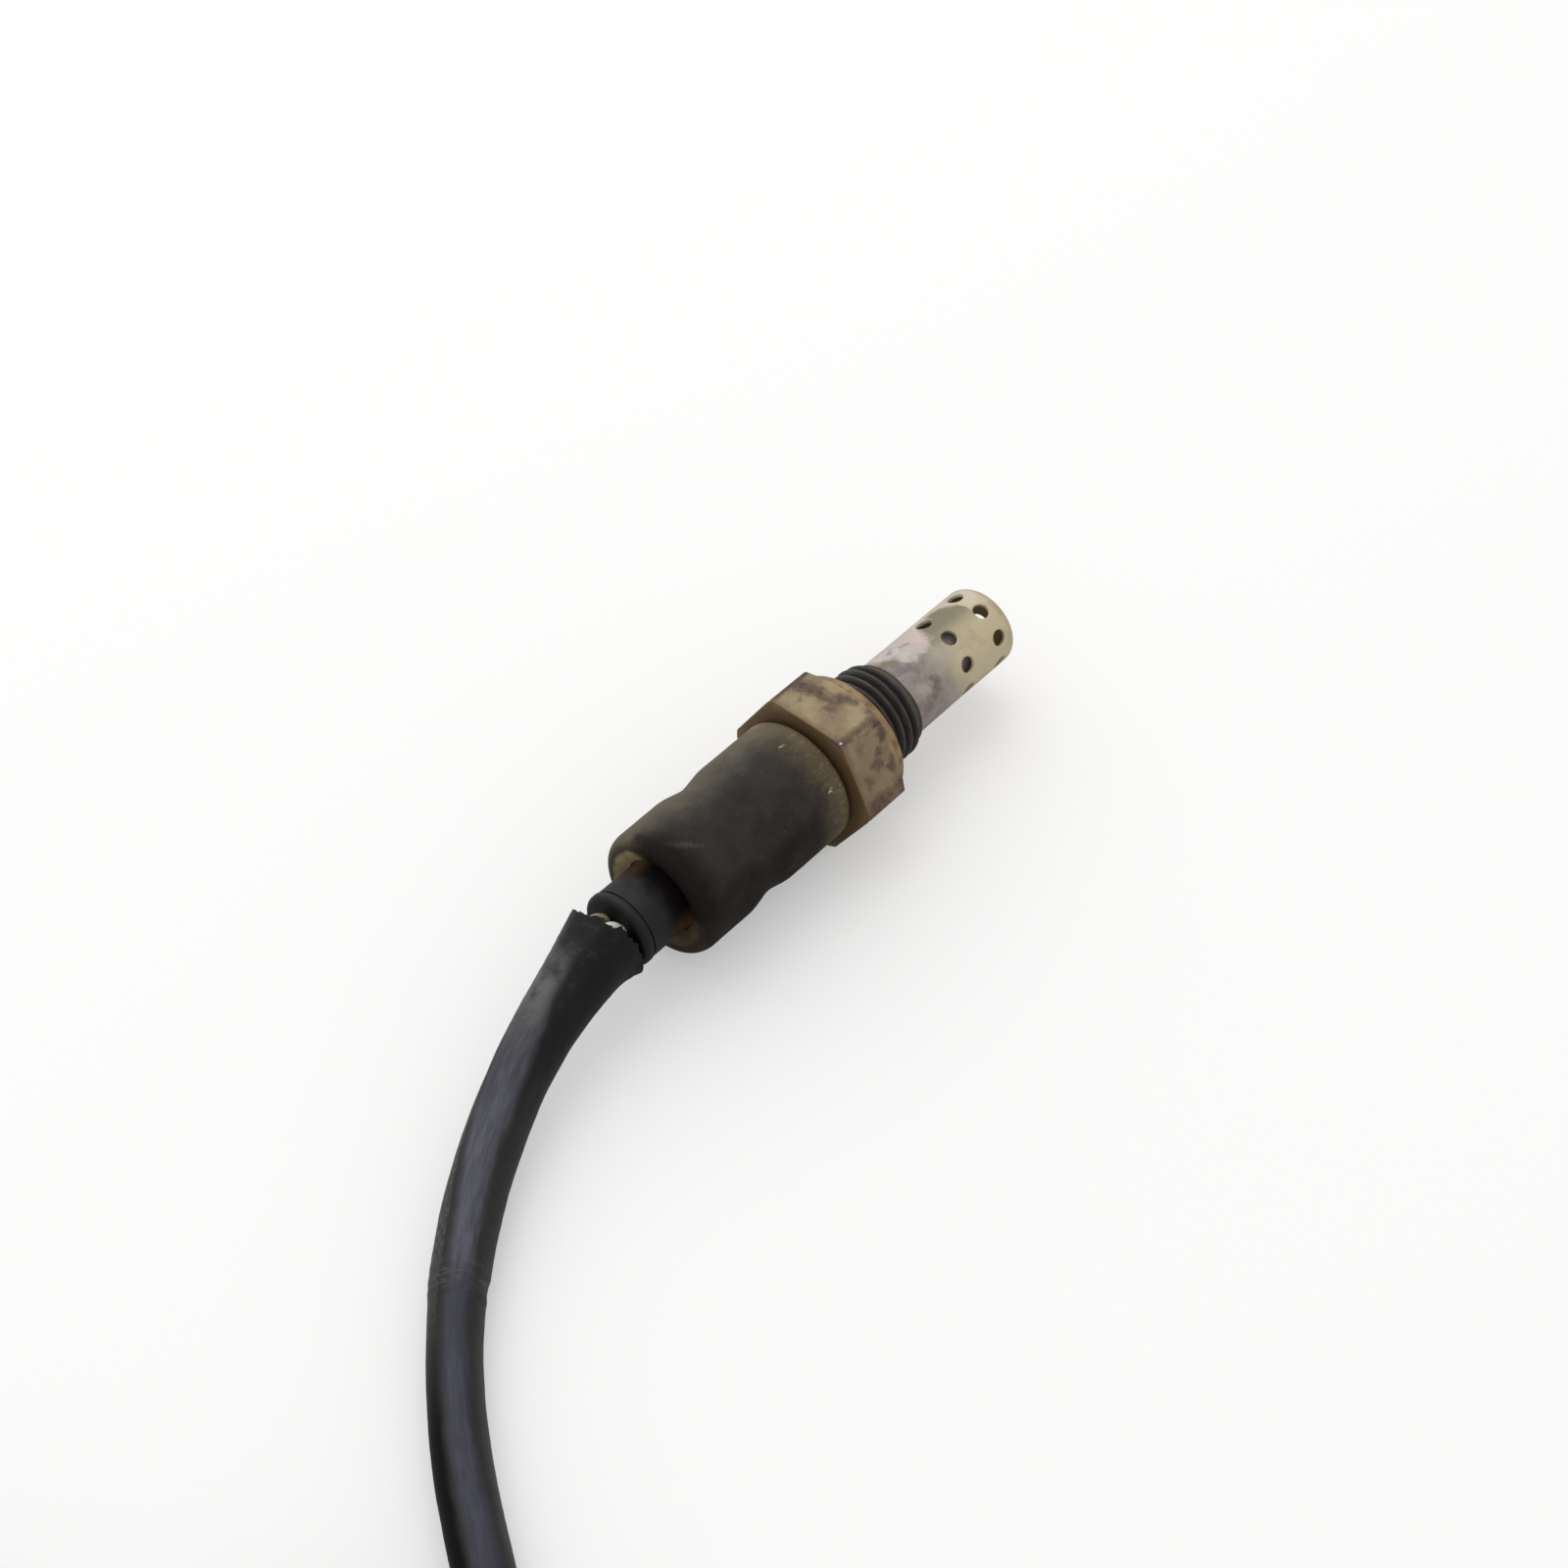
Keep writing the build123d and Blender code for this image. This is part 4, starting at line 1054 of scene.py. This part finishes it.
def shield_finish():
    """Heat-tinted steel: mauve near the thread, tan towards the tip, with deposits."""
    finish = Finish("heat_tinted_shield", 0.5, 0.3)
    lay, step, cloud = finish.lay, finish.step, finish.cloud
    station = finish.station()
    tip_part = step(finish.rough(station, 6, 300, 4), 21.5, 27.5)
    finish.start(tip_part, (150, 140, 134), (197, 184, 150))
    lay((122, 108, 104), 0.65, cloud(0.42, 0.62, 450, 6, 0.6, None, 1.2), step(station, 22.0, 18.5))
    lay((184, 176, 166), 0.7, cloud(0.55, 0.7, 620, 6, 0.6, None, 1.5), 0.5)
    lay((146, 130, 104), 0.3, cloud(0.5, 0.7, 420, 5, 0.55, None, 0.5))
    # arched zone over the holes: dark along its upper edge and fading downwards
    arch = finish.spot(on_axis(25.2 * mm, -4, shield_radius), 3.75 * mm, (1, 1, 1), 0.05, 0.25 * mm)
    fade = step(finish.product(finish.axis(1), 1 / mm), -2.6, 0.9)
    lay((112, 105, 84), 0.9, arch, fade)
    pale = finish.marks(shield_radius, pale_marks, 0.5, 1.0 * mm)
    uneven = cloud(0.25, 0.55, 900, 6, 0.6)
    pale = finish.product(pale, finish.math("MULTIPLY_ADD", uneven, 0.5, 0.5))
    lay((208, 200, 194), 0.85, pale)
    for marks, soft, bend, strength, colour in (
        (dull_marks, 0.7, 0.8, 0.65, (98, 84, 80)),
        (light_marks, 0.8, 0.8, 0.65, (178, 170, 156)),
        (rosy_marks, 0.4, 0.7, 0.75, (203, 184, 179)),
        (lilac_marks, 0.5, 0.8, 0.8, (122, 110, 120)),
        (umber_marks, 0.5, 0.8, 0.75, (108, 88, 62)),
    ):
        lay(colour, strength, finish.marks(shield_radius, marks, soft, bend * mm))
    # tanned tip, and painted shade towards the side turned down and towards +Y
    lay((154, 126, 86), 0.8, step(finish.rough(station, 1.5, 600, 4), 31.8, 33.6))
    lay((126, 112, 88), 0.45, step(finish.facing(), 0.5, -0.3))
    finish.drive("Roughness", pale, 0.42, 0.8)
    finish.bump(finish.noise(1500, 7, 0.6), 0.2, 0.05 * mm)
    return finish.done()


# faint slanting scrape across the boot's rear roll
scrape_marks = [
    (-22.6, 3, 0.22, 0.4), (-22.2, 0, 0.24, 0.6), (-21.8, -3, 0.26, 0.8),
    (-21.4, -6, 0.28, 1), (-21.0, -8.5, 0.3, 1), (-20.6, -11.5, 0.3, 1),
    (-20.2, -14.5, 0.26, 0.8), (-19.8, -17.5, 0.24, 0.6), (-19.4, -21, 0.22, 0.5),
]
chip_marks = [((-3.3, 0.1, 16.1), 0.2), ((-2.5, -6.3, 12.7), 0.19), ((-2.2, -6.1, 12.9), 0.12)]
reddish_marks = [((-0.4, 5.7, 13.4), 1.5, 1), ((-0.9, 6.6, 12.3), 1.3, 1)]


def boot_finish():
    """Black rubber, with dust by the hexagon, dust and painted light on its +Y side, painted shade
    towards -Y and round the near side of its rear, and brown dust darkened with painted shade in its rear
    mouth.
    """
    finish = Finish("dusty_rubber", 0.62, specular=0.28)
    lay, step, cloud = finish.lay, finish.step, finish.cloud
    station = finish.station()
    side = finish.axis(1)
    facing = finish.facing()
    rear = boot_end / mm
    finish.start(cloud(0.35, 0.7, 220, 6, 0.6), (31, 27, 26), (46, 40, 35))
    near = step(finish.rough(station, 5, 500, 7, 0.62), -3.6, 2.3)
    lay((102, 88, 63), 0.85, near)
    lay((134, 118, 86), 0.5, near, cloud(0.5, 0.68, 2200, 5, 0.6, (0.6, 1, 1)))
    lay((48, 40, 30), 0.5, near, cloud(0.58, 0.7, 1500, 5, 0.6, (2.5, 0.6, 0.6)))
    # dust and painted light on the +Y side, where the lamp falls
    above = finish.rough(finish.product(side, 1 / mm), 6, 350, 5)
    lay((104, 97, 78), 0.68, step(above, 2.2, 8.2))
    # painted shade on the -Y side, away from the hexagon
    minus_y_shade = finish.product(step(side, -5.9 * mm, -7.3 * mm), step(station, -3.0, -6.5))
    lay((20, 18, 15), 0.45, minus_y_shade)
    lay((82, 72, 60), 0.14, cloud(0.52, 0.7, 420, 6, 0.6, None, 0.8))
    lay((150, 112, 86), 0.6, finish.patches(reddish_marks, 0.6))
    for place, size in chip_marks:
        chip = finish.spot(Vector(place) * mm, size * mm, (1.9, 0.7, 0.7), 0.4, 0.3 * mm)
        lay((190, 182, 160), 0.85, chip)
    lay((112, 104, 90), 0.55, finish.marks(boot_rear_radius, scrape_marks, 0.95, 0.3 * mm))
    lay((128, 120, 104), 0.4, cloud(0.68, 0.78, 3200, 3))
    # painted shade: the rear is near black on the side that is turned up and towards -Y, and brown with
    # dust round the rest of the mouth
    near_side_shade = finish.without(step(finish.rough(facing, 0.5, 500, 5), 1.05, 0.6))
    lay((24, 21, 19), 0.78, step(station, rear + 6.5, rear + 0.8), near_side_shade)
    so_far = finish.tint
    finish.start(cloud(0.3, 0.65, 650, 6, 0.6), (126, 111, 78), (156, 141, 106))
    # painted shade on this dust: darker on the side turned up and towards -Y, and towards -Y
    lay((66, 50, 32), 0.8, step(facing, 0.3, 0.7))
    lay((66, 50, 31), 0.85, step(side, 0.5 * mm, -3.0 * mm))
    dust_and_shade = finish.tint
    finish.tint = so_far
    ragged = finish.rough(finish.radius(), 0.6, 900, 5)
    behind = step(station, rear + 1.5, rear + 1.0)
    # painted shadow: a dark brown line along the fold of the rear lip
    lay((46, 35, 22), 0.85, step(ragged, 7.5, 6.7), behind)
    lay(dust_and_shade, 0.95, step(ragged, 6.6, 6.0), behind)
    # painted shade over the rear on the near side
    lay((30, 27, 24), 1.0, behind, near_side_shade)
    # less shine where the shade is painted
    black = finish.product(step(station, rear + 4.2, rear + 0.9), near_side_shade)
    dull = finish.math("MAXIMUM", black, finish.product(minus_y_shade, 0.7))
    finish.drive("Specular IOR Level", dull, 0.28, 0.05)
    finish.drive("Roughness", finish.noise(900, 5), 0.55, 0.8)
    finish.bump(finish.noise(2600, 8, 0.7), 0.3, 0.05 * mm)
    finish.bump(finish.noise(350, 3), 0.25, 0.25 * mm)
    return finish.done()


def sheath_finish():
    """Black sheath with a painted reflection in a grey band along its top, painted highlights near its
    mouth and a rubbed crease.

    The texture plane runs round the sheath in u and along it in v, sheath_unit millimetres to one of v.
    """
    sheath_unit = math.pi * cable_diameter / mm
    finish = Finish("black_sheath", 0.45, 0.0, "UV", 0.3)
    lay, step, cloud = finish.lay, finish.step, finish.cloud
    length = finish.axis(1)
    along_it = finish.rough(length, 0.5, 3.0, 4)
    # angle from straight up, from -1 to 1 at the underside, bent off its line along the way
    around = finish.math("MULTIPLY_ADD", finish.axis(0), 2.0, -1.0)
    wobble = finish.math("MULTIPLY_ADD", finish.noise(2.0, 4, 0.55, (2, 1.2, 1)), 0.16, -0.05)
    turned = finish.math("ADD", around, wobble)
    for low, high, shift in ((2.0, 0.9, 0.11), (0.95, 0.5, 0.09)):
        turned = finish.math("SUBTRACT", turned, finish.product(step(length, low, high), shift))
    apart = finish.math("ABSOLUTE", turned)
    finish.start(cloud(0.35, 0.7, 3.0, 5, 0.55, (4, 0.5, 1)), (14, 13, 12), (24, 22, 21))
    # painted reflection: a bluish grey band along the top
    further = step(along_it, 0.6, 1.7)
    band_width = finish.math("MULTIPLY_ADD", step(length, 1.7, 1.1), 0.08, 0.2)
    band = step(finish.math("SUBTRACT", apart, band_width), 0.0, -0.13)
    grain = finish.product(
        cloud(0.3, 0.7, 9.0, 6, 0.62, (5, 0.5, 1)), cloud(0.25, 0.6, 2.2, 4, 0.6, (3, 1, 1))
    )
    grainy = finish.math("MULTIPLY_ADD", grain, 0.6, 0.4)
    band = finish.product(band, step(along_it, 0.35, 1.0), grainy)
    blue = finish.mix(step(length, 2.1, 2.4), (82, 82, 95), (56, 56, 74))
    lay(finish.mix(further, (72, 72, 76), blue), 1.0, band)
    # greyer strip along the outside of the bend, parted from the band by a dark line
    lay(
        (72, 71, 69),
        0.8,
        step(turned, 0.22, 0.27),
        step(turned, 0.46, 0.38),
        step(length, 0.8, 1.3),
        step(length, 2.7, 2.2),
        cloud(0.35, 0.6, 30, 5, 0.6, (2, 1, 1)),
    )
    lay((16, 15, 15), 0.8, step(turned, 0.19, 0.215), step(turned, 0.25, 0.225), further)
    # painted shade on the outer side past the crease
    outer = finish.product(step(turned, 0.15, 0.25), step(length, 2.4, 3.2))
    lay((11, 10, 10), 0.9, outer)
    shine = finish.math("MULTIPLY_ADD", step(length, 0.5, 1.6), 0.18, 0.16)
    finish.drive("Specular IOR Level", finish.math("MULTIPLY_ADD", outer, -0.27, shine), 0.0, 1.0)
    # rubbed crease
    slant = finish.math("SINE", finish.product(around, math.pi))
    slant = finish.product(slant, crease_slant / sheath_unit)
    offset = finish.math("ADD", finish.math("ADD", length, slant), -crease_reach / sheath_unit)
    crinkle = finish.noise(14, 5, 0.6, (1, 2.5, 1), 1.0)
    close = step(finish.math("ABSOLUTE", offset), 0.13, 0.03)
    lay((34, 33, 32), 0.8, close, 0.45)
    lay((88, 86, 82), 0.35, close, step(crinkle, 0.5, 0.62))
    # grit; painted highlights on the wrinkles near the mouth; rubbed places along the top, lightened with
    # painted highlight; smudged places near the mouth
    lay((96, 91, 84), 0.3, cloud(0.7, 0.8, 60, 3))
    # painted highlights on the wrinkles near the mouth
    wrinkle_highlight = cloud(0.5, 0.72, 13, 6, 0.65)
    lay((78, 76, 75), 0.3, wrinkle_highlight, step(length, 0.7, 0.3), step(apart, 0.42, 0.25))
    # rubbed places along the top near the mouth, with painted highlight
    rub_and_highlight_reach = finish.product(step(length, 0.12, 0.4), step(length, 0.9, 0.5))
    lay((100, 100, 100), 0.85, cloud(0.3, 0.58, 7, 6, 0.6), step(apart, 0.26, 0.08), rub_and_highlight_reach)
    smudge = finish.product(step(turned, 0.02, 0.12), step(turned, 0.34, 0.22))
    smudge_length = finish.product(step(length, 0.03, 0.2), step(length, 0.7, 0.4))
    lay((96, 95, 94), 0.5, smudge, smudge_length, cloud(0.35, 0.6, 8, 6, 0.65))
    finish.drive("Roughness", finish.noise(12, 5), 0.38, 0.55)
    finish.bump(finish.noise(70, 6, 0.65), 0.25, 0.04 * mm)
    finish.bump(finish.noise(4, 3, 0.5, (16, 0.12, 1)), 0.35, 0.12 * mm)
    finish.bump(finish.product(crinkle, close), 0.6, 0.2 * mm)
    return finish.done()


def grommet_finish():
    """Black rubber, rusty inside the boot's mouth, with painted shade on its -Y side, at its tail end and
    darkest where it goes into the boot's mouth.
    """
    finish = Finish("black_grommet", 0.55, specular=0.26)
    lay, step, cloud = finish.lay, finish.step, finish.cloud
    station = finish.station()
    facing = finish.facing()
    finish.start(cloud(0.35, 0.7, 400, 5), (30, 28, 28), (40, 38, 38))
    # painted shade on the -Y side
    lay((18, 16, 15), 0.45, step(finish.axis(1), -1.6 * mm, -3.8 * mm))
    # painted shade, darkest where the grommet goes into the boot
    from_boot = finish.rough(station, 3, 600, 5)
    shade_by_boot = step(from_boot, -25.6, -22.9)
    lay((15, 12, 11), 0.9, shade_by_boot)
    finish.drive("Specular IOR Level", shade_by_boot, 0.26, 0.04)
    lay((84, 62, 42), 0.55, step(from_boot, -25.2, -22.6), step(facing, 0.85, 0.45))
    rust = finish.mix(cloud(0.35, 0.65, 1500, 5), (88, 68, 40), (124, 108, 76))
    lay(rust, 0.85, step(from_boot, -22.4, -20.6), step(facing, 0.75, 0.35))
    # painted shade on the tail's end, where the sheath shades it
    lay((10, 9, 11), 0.9, step(station, tail_end / mm + 0.85, tail_end / mm + 0.35))
    finish.drive("Roughness", finish.noise(1000, 4), 0.45, 0.7)
    finish.bump(finish.noise(2400, 7, 0.65), 0.3, 0.05 * mm)
    return finish.done()


def paint(finish, *pieces):
    """Give pieces one material in all their slots."""
    for piece in pieces:
        if not piece.data.materials:
            piece.data.materials.append(finish.material)
        for index in range(len(piece.data.materials)):
            piece.data.materials[index] = finish.material


paint(shell_finish(), worn_shell)
paint(shield_finish(), worn_shield)
paint(boot_finish(), worn_boot)
paint(sheath_finish(), sheath)
paint(grommet_finish(), cad["grommet"])
paint(cloudy("gold_washer", (152, 129, 92), (118, 96, 62), 0.5, 0.4), cad["seat_washer"])
paint(cloudy("grey_inner_shield", (186, 176, 176), (146, 132, 124), 0.6, 0.2), cad["inner_shield"])
paint(cloudy("rusty_casing", (128, 98, 60), (84, 58, 34), 0.6, 0.4), cad["casing"])
paint(cloudy("zirconia", (222, 216, 202), (196, 188, 172), 0.5), cad["zirconia_element"])
paint(
    cloudy("alumina", (232, 230, 224), (206, 202, 192), 0.55),
    cad["terminal_insulator"],
    cad["packing_sleeve"],
    cad["heater_rod"],
)
paint(cloudy("talc", (206, 204, 196), (180, 176, 166), 0.9), cad["talc_ring"])
paint(
    cloudy("contact_steel", (176, 174, 170), (140, 136, 130), 0.35, 0.9),
    cad["element_gasket"],
    cad["crimp_ring"],
    cad["inner_contact"],
    cad["outer_contact"],
    cad["insulator_spring"],
)
paint(
    cloudy("terminal_metal", (196, 178, 128), (150, 130, 88), 0.35, 0.9),
    *numbered("terminal"),
    *numbered("plug_terminal"),
)
paint(cloudy("nylon_tie", (44, 44, 46), (62, 62, 62), 0.45), cad["coil_tie"])
paint(cloudy("plug_plastic", (52, 53, 56), (66, 66, 68), 0.5), cad["plug_housing"])
paint(cloudy("retainer_plastic", (196, 118, 44), (170, 98, 36), 0.5), cad["terminal_retainer"])
seal_silicone = cloudy("seal_silicone", (168, 72, 44), (140, 58, 36), 0.55)
paint(seal_silicone, cad["face_seal"], *numbered("wire_seal"))
wire_finishes = [
    cloudy("tan_wire", (170, 160, 134), (140, 127, 100), 0.55),
    cloudy("white_wire", (232, 230, 222), (204, 200, 190), 0.5),
    cloudy("black_wire", (40, 40, 42), (58, 57, 58), 0.5),
    cloudy("grey_wire", (132, 132, 134), (108, 108, 110), 0.5),
]
for finish, lead_wire, plug_wire in zip(wire_finishes, lead_wires, numbered("plug_wire")):
    paint(finish, lead_wire, plug_wire)

# ---------------------------------------------------------------- floor, world and lamps
floor_size = 3.0
floor_lift = 0.325              # light added to the floor in the camera's view only
floor = mesh_object(
    "floor",
    [Vector((x * floor_size, y * floor_size, 0)) for x, y in ((-1, -1), (1, -1), (1, 1), (-1, 1))],
    [(0, 1, 2, 3)],
)
floor_finish = Finish("pale_floor", 0.7, specular=0.1)
floor_finish.shader.inputs["Base Color"].default_value = (0.66, 0.655, 0.65, 1)
floor_finish.shader.inputs["Emission Color"].default_value = (1, 1, 1, 1)
seen = floor_finish.node("ShaderNodeLightPath").outputs["Is Camera Ray"]
floor_finish.drive("Emission Strength", seen, 0.0, floor_lift)
paint(floor_finish, floor)

world = bpy.data.worlds.new("studio")
scene.world = world
world.use_nodes = True
background = world.node_tree.nodes["Background"]
background.inputs["Color"].default_value = (1, 1, 1, 1)
background.inputs["Strength"].default_value = 0.78


def soft_lamp(name, place, size, power):
    """Square area lamp that faces the sensor."""
    data = bpy.data.lights.new(name, "AREA")
    data.size = size
    data.energy = power
    lamp = bpy.data.objects.new(name, data)
    scene.collection.objects.link(lamp)
    lamp.location = place
    lamp.rotation_mode = "QUATERNION"
    lamp.rotation_quaternion = (-Vector(place)).to_track_quat("-Z", "Y")


soft_lamp("key", (0.15, 0.55, 0.75), 1.1, 3.4)
